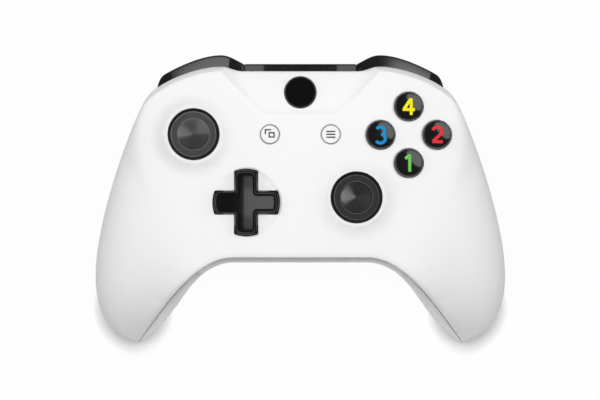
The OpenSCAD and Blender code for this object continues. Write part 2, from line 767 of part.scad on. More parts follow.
// Vibration motor inside each trigger, with its off-centre weight
module half_weight(r, bore, len) {
    difference() {
        union() {
            intersection() {
                cylinder(r = r, h = len);
                translate([-r, 0, 0]) cube([2 * r, r, len]);
            }
            cylinder(r = bore + 0.9, h = len);
        }
        translate([0, 0, -over]) cylinder(r = bore, h = len + 2 * over);
    }
}
module trigger_motor(side) {
    color("gray") place() on_side(side) along_x(trigger_in + buzz_in, buzz_y, buzz_z) {
        cylinder(r = buzz_r, h = buzz_len);
        cylinder(r = buzz_shaft_r, h = buzz_len + buzz_shaft_len);
    }
}
module left_trigger_motor() trigger_motor(-1);
module right_trigger_motor() trigger_motor(1);
module trigger_weight(side) {
    color("dimgray") place() on_side(side)
        along_x(trigger_in + buzz_in + buzz_len + 2 * gap, buzz_y, buzz_z)
            rotate(-90) half_weight(buzz_r - 0.5, buzz_shaft_r + slip, buzz_weight_len);
}
module left_trigger_weight() trigger_weight(-1);
module right_trigger_weight() trigger_weight(1);

// Sticks
case_top = pivot_z + 1;
case_t = 0.8;
case_in = case_side - 2 * case_t;
case_mouth = 5.2;
axle_r = 1;
pot_out = 9.2;
pot_half = 3.2;
pot_h = pivot_z + 0.7 - board_top;
module stick_case(p) {
    color("lightgray") place() translate([p[0], p[1], 0]) difference() {
        union() {
            translate([-case_side / 2, -case_side / 2, board_top])
                cube([case_side, case_side, case_top - board_top]);
            translate([0, -pot_half, board_top]) cube([pot_out, 2 * pot_half, pot_h]);
            translate([-pot_half, -pot_out, board_top]) cube([2 * pot_half, pot_out, pot_h]);
        }
        translate([-case_in / 2, -case_in / 2, board_top + case_t])
            cube([case_in, case_in, case_top - board_top - 2 * case_t]);
        translate([0, 0, case_top - case_t - over]) cylinder(r = case_mouth, h = case_t + 2 * over);
        along_x(-case_side, 0, pivot_z) cylinder(r = axle_r + slip, h = case_side + pot_out - 1);
    }
}
module left_stick_case() stick_case(sticks[0]);
module right_stick_case() stick_case(sticks[1]);

ring_r = 4.6;
ring_bore = 3.4;
ring_h = 2.4;
cross_pin_r = 0.8;
axle_len = case_side + 0.4;
module stick_yoke(p) {
    color("dimgray") place() translate([p[0], p[1], pivot_z]) difference() {
        union() {
            translate([0, 0, -ring_h / 2]) cylinder(r = ring_r, h = ring_h);
            along_x(-axle_len / 2, 0, 0) cylinder(r = axle_r, h = axle_len);
        }
        translate([0, 0, -ring_h]) cylinder(r = ring_bore, h = 2 * ring_h);
        rotate([90, 0, 0]) translate([0, 0, -2 * ring_r]) cylinder(r = cross_pin_r + slip, h = 4 * ring_r);
    }
}
module left_stick_yoke() stick_yoke(sticks[0]);
module right_stick_yoke() stick_yoke(sticks[1]);

click = 0.8;
shaft_top = cap_top - cap_t + pivot_depth - click;
shaft_tail = 3.6;
module stick_shaft(p) {
    color("black") place() translate([p[0], p[1], pivot_z]) {
        sphere(ring_bore - gap);
        cylinder(r = shaft_r, h = shaft_top);
        translate([0, 0, -shaft_tail]) cylinder(r = 1.2, h = shaft_tail);
        rotate([90, 0, 0]) translate([0, 0, -ring_r]) cylinder(r = cross_pin_r, h = 2 * ring_r);
    }
}
module left_stick_shaft() stick_shaft(sticks[0]);
module right_stick_shaft() stick_shaft(sticks[1]);

dome_t = 0.9;
dome_edge = 70;
module thumbstick(p) {
    top = pivot_depth + cap_top;
    under = top - cap_t;
    bore = shaft_r + slip;
    neck = asin((stem_r + 0.4) / dome_r);
    dome_in = dome_r - dome_t;
    color("black") place() translate([p[0], p[1], pivot_z]) rotate_extrude()
        polygon(concat(
            [for (t = [0:0.2:1]) [cap_dish_r * t, top - 0.9 + 0.6 * t * t]],
            [[cap_dish_r + 0.4, top], [cap_r - 1.1, top], [cap_r - 0.35, top - 0.3], [cap_r, top - 0.9]],
            [[cap_r, under + 0.7], [cap_r - 0.6, under]],
            [[stem_r + 0.7, under - 0.3], [stem_r, under - 1.1]],
            [for (a = [neck:(dome_edge - neck) / 8:dome_edge + 0.01]) dome_r * [sin(a), cos(a)]],
            [for (a = [dome_edge:-8:16]) dome_in * [sin(a), cos(a)]],
            [[bore, dome_in * cos(asin(bore / dome_in))], [bore, shaft_top + click], [0, shaft_top + click]]
        ));
}
module left_thumbstick() thumbstick(sticks[0]);
module right_thumbstick() thumbstick(sticks[1]);

// Cross pad on a ball-ended post, with a rocking spring plate under it
dpad_pivot = -3;
hub_r = 9.4;
hub_top = face_z(dpad_x) - wall - 1.5;
hub_t = 1.2;
ball_r = 2;
// Hollow for the thumb, worn from a large ball
thumb_ball = 60;
thumb_dip = 0.9;
module at_dpad() {
    translate([dpad_x, dpad_y, 0]) children();
}
module dpad() {
    color("black") place() at_dpad() difference() {
        union() {
            translate([0, 0, hub_top - hub_t]) linear_extrude(dpad_top - hub_top + hub_t) cross_2d(0);
            translate([0, 0, hub_top - hub_t]) cylinder(r = hub_r, h = hub_t);
        }
        translate([0, 0, dpad_top + thumb_ball - thumb_dip]) sphere(thumb_ball, $fn = 180);
        translate([0, 0, dpad_pivot]) sphere(ball_r + slip);
        translate([0, 0, dpad_pivot - 2 * ball_r]) cylinder(r = ball_r + slip, h = 2 * ball_r);
    }
}
post_r = 1.6;
post_foot = 7;
module dpad_base() {
    color("lightgray") place() at_dpad() {
        translate([0, 0, board_top]) cylinder(r = post_foot, h = 1.4);
        translate([0, 0, board_top]) cylinder(r = post_r, h = dpad_pivot - board_top);
        translate([0, 0, dpad_pivot]) sphere(ball_r);
    }
}
rocker_z = hub_top - hub_t - 1.9;
rocker_t = 0.5;
rocker_r = 4.2;
rocker_arm = 3.6;
module dpad_rocker() {
    color("silver") place() at_dpad() translate([0, 0, rocker_z]) difference() {
        linear_extrude(rocker_t) union() {
            circle(rocker_r);
            for (a = [0:90:270]) rotate(a) translate([0, -rocker_arm / 2]) square([hub_r - 0.8, rocker_arm]);
        }
        translate([0, 0, -over]) cylinder(r = ball_r + hole_gap, h = 3 * over);
    }
}

// Face buttons: domed caps with a flange and a hollow skirt
flange_t = 1.2;
skirt_t = 1.2;
skirt_z = board_top + 5;
button_dome = 1.6;
button_flange = face_z(diamond_x + diamond_r) - wall - 1.8;
flange_low = button_flange - flange_t;
module face_button(i) {
    base = face_z(button_at(i)[0]);
    top = base + button_top;
    r = button_r;
    color("black") place() translate([button_at(i)[0], button_at(i)[1], 0]) rotate_extrude()
        polygon(concat(
            [for (a = [0:15:75]) [r * sin(a), top - button_dome * (1 - cos(a))]],
            [[r, top - button_dome], [r, button_flange], [r + flange_w, button_flange]],
            [[r + flange_w, flange_low], [r - 0.6, flange_low], [r - 0.6, skirt_z]],
            [[r - skirt_t - 0.6, skirt_z], [r - skirt_t - 0.6, flange_low], [0, flange_low]]
        ));
}
module upper_button() face_button(0);
module left_button() face_button(1);
module right_button() face_button(2);
module lower_button() face_button(3);

// Silicone mats under the buttons
mat_t = 0.8;
dome_top = skirt_z - 0.2;
module mat_dome(r) {
    rotate_extrude() polygon([
        [0, board_top], [r + 0.9, board_top], [r + 0.9, board_top + mat_t], [r, dome_top - mat_t],
        [r - 0.6, dome_top], [0, dome_top]
    ]);
}
module button_pad() {
    color("darkgray") place() {
        for (i = [0:3]) translate([button_at(i)[0], button_at(i)[1], 0]) mat_dome(button_r - 0.8);
        translate([diamond_x, diamond_y, board_top]) linear_extrude(mat_t) union() {
            for (d = diamond) translate(diamond_r * d) circle(button_r + 0.5);
            rotate(45) square(1.45 * diamond_r, center = true);
        }
    }
}

small_flange = face_z(small_x) - wall - 0.4;
small_stem = 2;
module small_button(x) {
    base = face_z(x);
    color("white") place() translate([x, small_y, 0]) rotate_extrude()
        polygon([
            [0, base + 0.9], [small_r - 0.6, base + 0.8], [small_r, base + 0.3], [small_r, small_flange],
            [small_r + flange_w, small_flange], [small_r + flange_w, small_flange - flange_w],
            [small_stem, small_flange - flange_w], [small_stem, skirt_z], [0, skirt_z]
        ]);
}
module view_button() small_button(-small_x);
module menu_button() small_button(small_x);
menu_half = 4;
module menu_pad() {
    color("darkgray") place() {
        for (x = [-small_x, small_x]) translate([x, small_y, 0]) mat_dome(small_stem + 0.4);
        translate([-small_x - menu_half, small_y - menu_half, board_top])
            cube([2 * (small_x + menu_half), 2 * menu_half, mat_t]);
    }
}

function panel_z(y) = -tan(panel_slope) * (y - panel_y);
guide_flange = panel_z(guide_y + guide_r + flange_w + gap) - wall - 0.5;
guide_switch = 1.6;
guide_foot = board_top + guide_switch + 0.9;
module guide_button() {
    top = panel_z(guide_y) + 0.9;
    color("black") place() translate([0, guide_y, 0]) rotate_extrude()
        polygon([
            [0, top + 0.3], [guide_r - 1.6, top + 0.15], [guide_r - 0.4, top - 0.3], [guide_r, top - 0.8],
            [guide_r, guide_flange], [guide_r + flange_w, guide_flange],
            [guide_r + flange_w, guide_flange - flange_t], [2.2, guide_flange - flange_t],
            [1.8, guide_foot], [0, guide_foot]
        ]);
}

// Boards
wing_x = 56;
wing_low = 8;
board_half = 33;
board_low = waist_y + 3.4;
board_high = top_y - 7.6;
wing_corner = 12;
wing_fall = 13.4;
right_edge = [
    [board_half, board_low], [board_half, wing_low], [wing_x, wing_low],
    [wing_x, board_high - wing_fall], [wing_x - 0.4 * wing_corner, board_high - wing_fall / 2],
    [wing_x - wing_corner, board_high]
];
board_edge = concat(right_edge, [for (i = [5:-1:0]) [-right_edge[i][0], right_edge[i][1]]]);
chip_t = 1.6;
module main_board() {
    color("seagreen") place() difference() {
        union() {
            translate([0, 0, board_under]) linear_extrude(board_t) polygon(board_edge);
            translate([-3, guide_y - 5, board_top]) cube([6, 6, guide_switch]);
            translate([-6, -4, board_top]) cube([12, 14, chip_t]);
            translate([-30, 20, board_under - chip_t / 2]) cube([9, 9, chip_t / 2]);
        }
        for (p = bosses) translate([p[0], p[1], board_under - over])
            cylinder(r = boss_r + gap, h = board_t + 2 * over);
    }
}
// The plunger stops short of the bumper by its travel there and the play
plunger_r = 0.8;
plunger_len = hump_y - bumper_inset - 0.4 - gap - switch_y;
module bumper_switches() {
    color("dimgray") place() for (side = [-1, 1])
        on_side(side) translate([switch_x, switch_y, board_top]) {
            translate([-3, -5, 0]) cube([6, 5, switch_h]);
            translate([0, -over, switch_h / 2]) rotate([-90, 0, 0])
                cylinder(r = plunger_r, h = plunger_len + over);
        }
}

power_z = frame_under - 3.4;
power_low = bay_y + bay_wide / 2 + frame_t + 1;
power_half = 17;
power_deep = top_y - 7.2 - power_low;
module power_board() {
    color("seagreen") place() {
        translate([-power_half, power_low, power_z]) cube([2 * power_half, power_deep, board_t]);
        translate([4, power_low + 4, power_z - chip_t]) cube([9, 7, chip_t]);
    }
}
header_x = -11;
header_y = power_low + 6;
header_w = 5;
header_len = 10;
module board_header() {
    color("black") place()
        translate([header_x, header_y, power_z + board_t])
            cube([header_w, header_len, board_under - power_z - board_t]);
}

// Frame: plate, battery tub, trigger lugs and motor cradles
motor_z = -motor_depth;
motor_y = -16;
plate_half = 34;
plate_low = bay_y - bay_wide / 2 - frame_t;
plate_top = top_y - 15.2;
tub_clear = 2.4;
// Arms from the plate out to the bosses: corner, width and height
arm_w = 6;
boss_arms = [
    [plate_half - over, lower_boss[1] - arm_w / 2, lower_boss[0] - plate_half + over, arm_w],
    [upper_boss[0] - 5, plate_top - over, 5, upper_boss[1] - plate_top]
];
module tub_2d(grow) {
    square([bay_len + 2 * grow, bay_wide + 2 * grow], center = true);
}
cradle_len = 5;
arm_t = 2;
arm_h = 3;
cradle_y = motor_y + 0.4 - cradle_len;
module motor_cradle() {
    translate([motor_x, cradle_y, motor_z]) rotate([-90, 0, 0]) difference() {
        cylinder(r = motor_r + gap + frame_t, h = cradle_len);
        translate([0, 0, -over]) cylinder(r = motor_r + gap, h = cradle_len + 2 * over);
        translate([-2 * motor_r, -2 * motor_r, -over])
            cube([4 * motor_r, 2 * motor_r, cradle_len + 2 * over]);
    }
    translate([plate_half - arm_t, cradle_y, motor_z - arm_h])
        cube([motor_x - motor_r - frame_t / 2 - plate_half + arm_t, cradle_len, arm_h]);
    translate([plate_half - arm_t, cradle_y, motor_z - arm_h])
        cube([arm_t, plate_low - cradle_y + over, frame_top - motor_z + arm_h]);
}
module mid_frame() {
    color("dimgray") place() difference() {
        union() {
            translate([-plate_half, plate_low, frame_under])
                cube([2 * plate_half, plate_top - plate_low, frame_t]);
            translate([0, bay_y, door_in + tub_clear])
                linear_extrude(frame_under - door_in - tub_clear) difference() {
                    tub_2d(frame_t);
                    tub_2d(0);
                }
            for (p = bosses) translate([p[0], p[1], frame_under]) cylinder(r = boss_r + 1, h = frame_t);
            for (side = [-1, 1]) on_side(side) {
                for (p = boss_arms) translate([p[0], p[1], frame_under]) cube([p[2], p[3], frame_t]);
                translate([lug_in, plate_top - 4, frame_under]) cube([lug_span, 4, frame_t]);
                for (x = [lug_in, lug_out]) {
                    translate([x, plate_top - over, frame_under])
                        cube([lug_t, trigger_pin_y - plate_top + over, frame_t]);
                    on_pin(x) cylinder(r = ear_r, h = lug_t);
                }
                motor_cradle();
            }
        }
        for (p = bosses) translate([p[0], p[1], frame_under - over])
            cylinder(r = screw_r + 2 * slip, h = frame_t + 2 * over);
        translate([header_x - gap, header_y - gap, frame_under - over])
            cube([header_w + 2 * gap, header_len + 2 * gap, frame_t + 2 * over]);
        for (side = [-1, 1]) on_side(side)
            on_pin(lug_in - over) cylinder(r = trigger_pin_r + slip / 2, h = lug_span + 2 * over);
    }
}
head_t = 1.6;
module frame_screws() {
    color("silver") place() for (p = bosses) translate([p[0], p[1], frame_under]) {
        cylinder(r = screw_r, h = screw_len);
        translate([0, 0, -head_t]) cylinder(r = 2 * screw_r, h = head_t);
    }
}

// Sockets
module usb_socket() {
    color("silver") place() difference() {
        translate([0, usb_y, usb_z]) slot_along_y(usb_w, usb_h, top_y - usb_y + 0.4);
        translate([0, usb_y + 2, usb_z])
            slot_along_y(usb_w - 2 * usb_t, usb_h - 2 * usb_t, top_y - usb_y);
    }
}
jack_mouth = waist_y - rear_bulge + seam;
jack_w = 6.8;
jack_len = 14;
jack_body = 12;
slot_body = 7;
snout_len = 6;
port_in = board_low + 0.5;
slot_t = 0.8;
module headset_socket() {
    color("black") place() difference() {
        union() {
            translate([jack_x - jack_w / 2, port_in, board_top]) cube([jack_w, jack_body, jack_h]);
            translate([jack_x, jack_mouth, jack_z]) rotate([-90, 0, 0]) cylinder(r = snout_r, h = snout_len);
        }
        translate([jack_x, jack_mouth - over, jack_z]) rotate([-90, 0, 0])
            cylinder(r = jack_r, h = jack_len + over);
    }
}
module accessory_socket() {
    color("black") place() difference() {
        union() {
            translate([slot_x - slot_w / 2, port_in, board_top]) cube([slot_w, slot_body, jack_h]);
            translate([slot_x, jack_mouth, jack_z]) slot_along_y(slot_w, slot_h, snout_len);
        }
        translate([slot_x, jack_mouth - over, jack_z])
            slot_along_y(slot_w - 2 * slot_t, slot_h - 2 * slot_t, snout_len + over);
    }
}

// Grip motors and their off-centre weights
spindle_r = 1;
spindle_len = 7;
weight_len = 5;
module at_motor(side) {
    on_side(side) translate([motor_x, motor_y, motor_z]) rotate([90, 0, 0]) children();
}
module rumble_motor(side) {
    color("silver") place() at_motor(side) {
        cylinder(r = motor_r, h = motor_len);
        translate([0, 0, -spindle_len]) cylinder(r = spindle_r, h = spindle_len + over);
    }
}
module left_rumble_motor() rumble_motor(-1);
module right_rumble_motor() rumble_motor(1);
module rumble_weight(side) {
    color("dimgray") place() at_motor(side) translate([0, 0, 0.5 - spindle_len])
        rotate(180) half_weight(motor_r - 0.6, spindle_r + slip, weight_len);
}
module left_rumble_weight() rumble_weight(-1);
module right_rumble_weight() rumble_weight(1);

// Battery bay
cell_y = cell_d / 2 + 0.4;
cell_cap_r = 2.7;
cap_len = 1;
contact_t = 0.5;
contact_w = 9;
contact_h = 10;
module battery_cells() {
    color("goldenrod") place() for (side = [-1, 1])
        translate([-cell_len / 2, bay_y + side * cell_y, cell_z]) rotate([0, 90, 0]) {
            cylinder(r = cell_d / 2, h = cell_len - cap_len);
            cylinder(r = cell_cap_r, h = cell_len);
        }
}
module battery_contacts() {
    color("silver") place() for (end = [-1, 1], side = [-1, 1])
        translate([end * (bay_len / 2 - gap), bay_y + side * cell_y, cell_z]) {
            cube([contact_t, contact_w, contact_h], center = true);
            rotate([0, -end * 90, 0]) cylinder(r1 = 3.4, r2 = cell_cap_r, h = 2.2);
        }
}
// Thumb ribs on the door
rib_len = 14;
rib_w = 0.7;
rib_deep = 0.5;
rib_pitch = 1.6;
module battery_door() {
    color("whitesmoke") place() difference() {
        intersection() {
            skin(full_rows(1, 0, s_split), full_rows(1, door_t, s_split), undef, undef, true);
            door_prism(0);
        }
        for (i = [0:4]) translate([-rib_len / 2, bay_y + door_half_y - 4 - rib_pitch * i, back_z - rib_deep])
            cube([rib_len, rib_w, 2 * rib_deep]);
    }
}

// Reach along the table, from the grips to the bumpers or triggers
front_reach = min([for (s = [s_wide:s_tip - 1], b = [0, 1]) for (p = row(s, b, 0)) along_table(p)]);
back_reach = max(concat(
    [for (r = trigger_rows) for (p = r) along_table(p)],
    [for (t = [0:11]) for (p = bumper_row(t)) along_table(p)]
));

front_shell();
rear_shell();
left_grip_cover();
right_grip_cover();
top_bridge();
sync_button();
left_bumper();
right_bumper();
left_trigger();
right_trigger();
left_trigger_pin();
right_trigger_pin();
left_trigger_spring();
right_trigger_spring();
left_trigger_motor();
right_trigger_motor();
left_trigger_weight();
right_trigger_weight();
left_stick_case();
right_stick_case();
left_stick_yoke();
right_stick_yoke();
left_stick_shaft();
right_stick_shaft();
left_thumbstick();
right_thumbstick();
dpad();
dpad_base();
dpad_rocker();
upper_button();
left_button();
right_button();
lower_button();
button_pad();
view_button();
menu_button();
menu_pad();
guide_button();
main_board();
bumper_switches();
power_board();
board_header();
mid_frame();
frame_screws();
usb_socket();
headset_socket();
accessory_socket();
left_rumble_motor();
right_rumble_motor();
left_rumble_weight();
right_rumble_weight();
battery_cells();
battery_contacts();
battery_door();
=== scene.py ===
import json
import math

import bmesh
import bpy
import numpy as np
from mathutils import Matrix, Vector
from mathutils.geometry import delaunay_2d_cdt


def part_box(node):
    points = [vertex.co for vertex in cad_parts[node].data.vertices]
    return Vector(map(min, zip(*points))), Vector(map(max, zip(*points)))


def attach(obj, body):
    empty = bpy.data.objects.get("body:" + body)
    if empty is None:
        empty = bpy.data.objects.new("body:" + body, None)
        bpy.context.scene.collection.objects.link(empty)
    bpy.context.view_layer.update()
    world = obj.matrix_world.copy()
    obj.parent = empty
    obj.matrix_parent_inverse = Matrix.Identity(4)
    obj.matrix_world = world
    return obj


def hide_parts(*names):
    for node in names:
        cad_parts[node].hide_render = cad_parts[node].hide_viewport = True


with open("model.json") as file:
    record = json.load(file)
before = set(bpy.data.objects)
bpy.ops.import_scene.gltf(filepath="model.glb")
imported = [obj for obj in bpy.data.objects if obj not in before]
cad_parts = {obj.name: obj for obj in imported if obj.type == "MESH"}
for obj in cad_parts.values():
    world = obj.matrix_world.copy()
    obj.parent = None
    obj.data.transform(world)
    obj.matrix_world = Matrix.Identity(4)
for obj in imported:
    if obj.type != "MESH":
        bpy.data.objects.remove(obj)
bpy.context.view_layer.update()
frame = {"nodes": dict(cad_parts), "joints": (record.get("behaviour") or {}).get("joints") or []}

# Faceplate
# The white front half of the housing, injection moulded in hard plastic with a fine eroded grain.
# Both grip fronts, the stick collars, the dish under the cross and the sloped panel are one
# moulding, held by screws that come up through four posts behind it.

# Places on the face are millimetres: x to the right, y up along the face, z out of it
stick_places = {"left": (-39.5, 24.5), "right": (20.8, 1.1)}
pivot_depth = 9.5
rest_angle = math.radians(12)
rest_lean = Matrix.Rotation(rest_angle, 4, "X")
stick_joint = next(j for j in frame["joints"] if j["name"] == "left_stick_pitch")
stick_centre = rest_lean @ (Vector((*stick_places["left"], -pivot_depth)) / 1000)
face_frame = Matrix.Translation(Vector(stick_joint["pos_m"]) - stick_centre) @ rest_lean

top_y, upper_rim = 48, -6.5
waist_y, lower_rim = -21.3, -8
grip_tip = (60.8, -53.2, -31.4)
last_station = 24
outer_outline = [
    (0, 3, [(0, top_y), (7.17, top_y), (14.33, top_y), (21.5, top_y)]),
    (3, 6, [(21.5, top_y), (24.5, top_y), (26.5, 49.7), (29.5, 49.7)]),
    (6, 11, [(29.5, 49.7), (38, 49.7), (52.5, 44.5), (57, 38.2)]),
    (11, 18, [(57, 38.2), (62, 31.2), (76.5, -7), (76.5, -28)]),
    (18, last_station, [(76.5, -28), (76.8, -38.5), (73, -51), grip_tip[:2]]),
]
inner_outline = [
    (0, 6, [(0, waist_y), (8.2, waist_y), (16.4, waist_y), (24.6, waist_y)]),
    (6, last_station, [(24.6, waist_y), (38.5, -21), (50.5, -39), grip_tip[:2]]),
]
seam = 0.2
shell_wall = 2.2
back_depth, back_inset = -38.5, 3.4
rear_bulge, grip_bulge = 1.8, 1.15
face_crown, grip_fall = 0.0006, 28

# Powers of the outer and the inner edge: in the middle, on the grips, and the stations between
face_edges = [(16, 2.4, 10, 14), (24, 8, 8, 20)]
back_edges = [(5, 2.3, 10, 15), (6, 2.5, 9, 16)]


def mix(a, b, t):
    return a + (b - a) * t


def ease(x, low, high):
    t = np.clip((np.asarray(x, float) - low) / (high - low), 0, 1)
    return t * t * (3 - 2 * t)


def bezier(corners, t):
    a, b, c, d = (np.array(p, float) for p in corners)
    t = np.asarray(t, float)[..., None]
    return a * (1 - t) ** 3 + 3 * b * t * (1 - t) ** 2 + 3 * c * t * t * (1 - t) + d * t**3


def along(outline, station):
    """Points on a chain of curves, each given with the stations that it runs between."""
    points = np.zeros((len(station), 2))
    for first, last, corners in outline:
        here = (station >= first) & (station <= last)
        points[here] = bezier(corners, (station[here] - first) / (last - first))
    return points


def inward(station):
    """Unit vectors into the body, square to its outer outline."""
    step = along(outer_outline, np.minimum(station + 0.05, last_station))
    step = step - along(outer_outline, np.maximum(station - 0.05, 0))
    return np.stack([step[:, 1], -step[:, 0]], 1) / np.linalg.norm(step, axis=1)[:, None]


def outer_rim(points):
    return mix(upper_rim, grip_tip[2], (top_y - points[:, 1]) / (top_y - grip_tip[1]))


def shell_grid(stations, back=False, inset=0.0):
    """Rows of points over the face or the back, from the outer edge to the inner one."""
    s = np.abs(stations)
    outer, inner = along(outer_outline, s), along(inner_outline, s)
    rim_a = outer_rim(outer) - seam * back
    down = (waist_y - inner[:, 1]) / (waist_y - grip_tip[1])
    rim_b = mix(lower_rim, grip_tip[2], down) - seam * back
    if back:
        outer = outer + inward(s) * back_inset * (1 - ease(s, 9.6, 11.6))[:, None]
    edges = back_edges if back else face_edges
    edge_a, edge_b = [mix(a, b, ease(s, first, last))[:, None] for a, b, first, last in edges]
    roll = np.concatenate([[0, 0.02, 0.045, 0.07, 0.095, 0.13], np.linspace(0.18, 0.94, 14)])[None]
    near = (1 - (1 - roll**edge_a) ** (1 / edge_a)) / 2
    far = (1 + (1 - roll**edge_b) ** (1 / edge_b)) / 2
    middle = mix(near[:, -1:], far[:, -1:], np.linspace(0, 1, 91)[None, 1:-1])
    across = np.concatenate([near, middle, far[:, ::-1]], 1)
    power = np.where(across < 0.5, edge_a, edge_b)
    lift = (1 - np.abs(1 - 2 * across) ** power) ** (1 / power)
    width = np.linalg.norm(inner - outer, axis=1)[:, None]
    bulge = back * rear_bulge * (1 + grip_bulge * ease(s, 10, 20))
    bulge = bulge * np.sqrt(1 - np.maximum(0, (s - 20) / 4) ** 2)
    ledge = mix(0.05, 0.18, ease(s, 9, 18))[:, None]
    step_out = np.clip(lift / ledge, 0, 1) * (1 - ease(lift, 0.5, 1))
    swell = np.where(across > 0.5, bulge[:, None] / width * step_out, 0)
    trim = np.minimum(inset / width, 0.4)
    spread = (mix(trim, 1 - trim, across) + swell)[..., None]
    xy = mix(outer[:, None], inner[:, None], spread)
    rim = mix(rim_a[:, None], rim_b[:, None], across)
    mid_y = (outer[:, 1] + inner[:, 1])[:, None] / 2
    if back:
        crown = back_depth + 3.2 * ease(-mid_y, -7, 20) - 1.7 * ease(-mid_y, 20, 40)
        crown = crown + 4.2 * ease(-mid_y, 42, 54)
    else:
        fall = np.maximum(0, 8 - mid_y) / (8 - grip_tip[1])
        crown = -grip_fall * mix(fall**2, fall**6, 0.45) - face_crown * xy[..., 0] ** 2
    rise = crown - rim
    rise = np.sign(rise) * np.maximum(np.abs(rise) - inset, 0.25 * np.abs(rise))
    x = xy[..., 0] * np.where(np.asarray(stations) < 0, -1, 1)[:, None]
    return np.stack([x, xy[..., 1], rim + rise * lift], -1)


def grid_faces(rows, columns, start=0, round_rows=False):
    """Quads of a grid of points; with round_rows, each row's last point joins its first."""
    i = np.arange(rows - 1)[:, None]
    k = np.arange(columns if round_rows else columns - 1)[None]
    a, b = i * columns + k, i * columns + (k + 1) % columns
    return (start + np.stack([a, b, b + columns, a + columns], -1).reshape(-1, 4)).tolist()


def join(*shapes):
    """Several (points, faces) shapes as one."""
    points, faces = [], []
    for some_points, some_faces in shapes:
        start = sum(map(len, points))
        points.append(np.asarray(some_points, float))
        faces += [[start + i for i in face] for face in some_faces]
    return np.concatenate(points), faces


def thick_shell(stations, back, wall, left_tip, right_tip, shaped=lambda grid: grid):
    """Closed moulding: a fine outer grid, a coarser inner one and the rim between them."""
    skip = 8
    outer = shaped(shell_grid(stations, back))
    whole = np.isclose(stations, np.round(stations)) & (np.abs(stations) < 23.5)
    whole[0] |= not left_tip
    whole[-1] |= not right_tip
    posts = np.flatnonzero(whole)
    inner = shell_grid(stations[posts], back, wall)[:, ::skip]
    n, m = outer.shape[:2]
    p, q = inner.shape[:2]
    start = n * m
    points = [outer.reshape(-1, 3), inner.reshape(-1, 3)]
    faces = grid_faces(n, m) + grid_faces(p, q, start)
    count = start + p * q
    sides = []
    for k, h in ((0, 0), (m - 1, q - 1)):
        rim, ledge = [i * m + k for i in range(n)], [start + j * q + h for j in range(p)]
        sides.append((rim, ledge, list(posts)))
    for end, tipped in ((0, left_tip), (1, right_tip)):
        row = [(n - 1) * m * end + k for k in range(m)]
        post = [start + (p - 1) * q * end + h for h in range(q)]
        if not tipped:
            for h in range(q - 1):
                stop = m if h == q - 2 else (h + 1) * skip + 1
                faces.append(row[h * skip:stop] + [post[h + 1], post[h]])
            continue
        point = np.array(grip_tip) - np.array([0, 0, seam * back])
        point[0] *= -1 if end == 0 else 1
        inside = mix(point, inner[-end, q // 2], 0.5)
        points.append(np.stack([point, inside]))
        faces += [[row[k], row[k + 1], count] for k in range(m - 1)]
        faces += [[post[h], post[h + 1], count + 1] for h in range(q - 1)]
        for rim, ledge, stops in sides:
            edge = [count] + rim[:stops[0] + 1] if end == 0 else rim[stops[-1]:] + [count]
            foot = [count + 1, ledge[0]] if end == 0 else [ledge[-1], count + 1]
            faces.append(edge + foot[::-1])
        count += 2
    for rim, ledge, stops in sides:
        for j in range(len(stops) - 1):
            faces.append(rim[stops[j]:stops[j + 1] + 1] + [ledge[j + 1], ledge[j]])
    return np.concatenate(points), faces


def loft(rows):
    """Closed shape through rings of points, with a flat cap at either end."""
    rows = np.asarray(rows, float)
    count, turns = rows.shape[:2]
    faces = grid_faces(count, turns, 0, True)
    faces += [list(range(turns)), [(count - 1) * turns + k for k in range(turns)]]
    return rows.reshape(-1, 3), faces


def lathe(profile, place=(0, 0), turns=96, ring=False):
    """Shape turned about z at a place on the face; a ring's profile closes on itself."""
    profile = np.array(profile, float)
    angle = np.linspace(0, 2 * math.pi, turns, endpoint=False)
    spun = [profile[:, :1] * np.cos(angle), profile[:, :1] * np.sin(angle)]
    spun = np.stack([*spun, np.repeat(profile[:, 1:], turns, 1)], -1)
    spun[..., :2] += place
    if not ring:
        return loft(spun)
    total = len(profile) * turns
    faces = grid_faces(len(profile) + 1, turns, 0, True)
    return spun.reshape(-1, 3), [[i % total for i in face] for face in faces]


def prism(outline, low, high, flare=0.0):
    """Upright block on an outline; flare widens the top of it by a 45 degree bevel."""
    outline = np.array(outline, float)
    levels = [(outline, low), (outline, high)]
    if flare:
        out = np.roll(outline, -1, 0) - np.roll(outline, 1, 0)
        out = np.stack([out[:, 1], -out[:, 0]], 1) / np.linalg.norm(out, axis=1)[:, None]
        levels.append((outline + out * flare, high + flare))
    return loft([np.column_stack([ring, np.full(len(ring), z)]) for ring, z in levels])


def block(low, high):
    (a, b, c), (d, e, f) = low, high
    return prism([(a, b), (d, b), (d, e), (a, e)], c, f)


def arc(centre, r, start, end, points=18):
    """Points on a round or oval arc from one angle to another, in degrees."""
    a = np.radians(np.linspace(start, end, points))
    return (np.array(centre) + np.stack([np.cos(a), np.sin(a)], 1) * r).tolist()


def new_mesh(name, shape):
    points, faces = shape
    mesh = bpy.data.meshes.new(name)
    mesh.from_pydata(np.asarray(points).tolist(), [], faces)
    mesh.validate()
    tidy = bmesh.new()
    tidy.from_mesh(mesh)
    bmesh.ops.recalc_face_normals(tidy, faces=tidy.faces)
    tidy.to_mesh(mesh)
    tidy.free()
    return mesh


def new_object(name, data):
    obj = bpy.data.objects.new(name, data)
    bpy.context.scene.collection.objects.link(obj)
    return obj


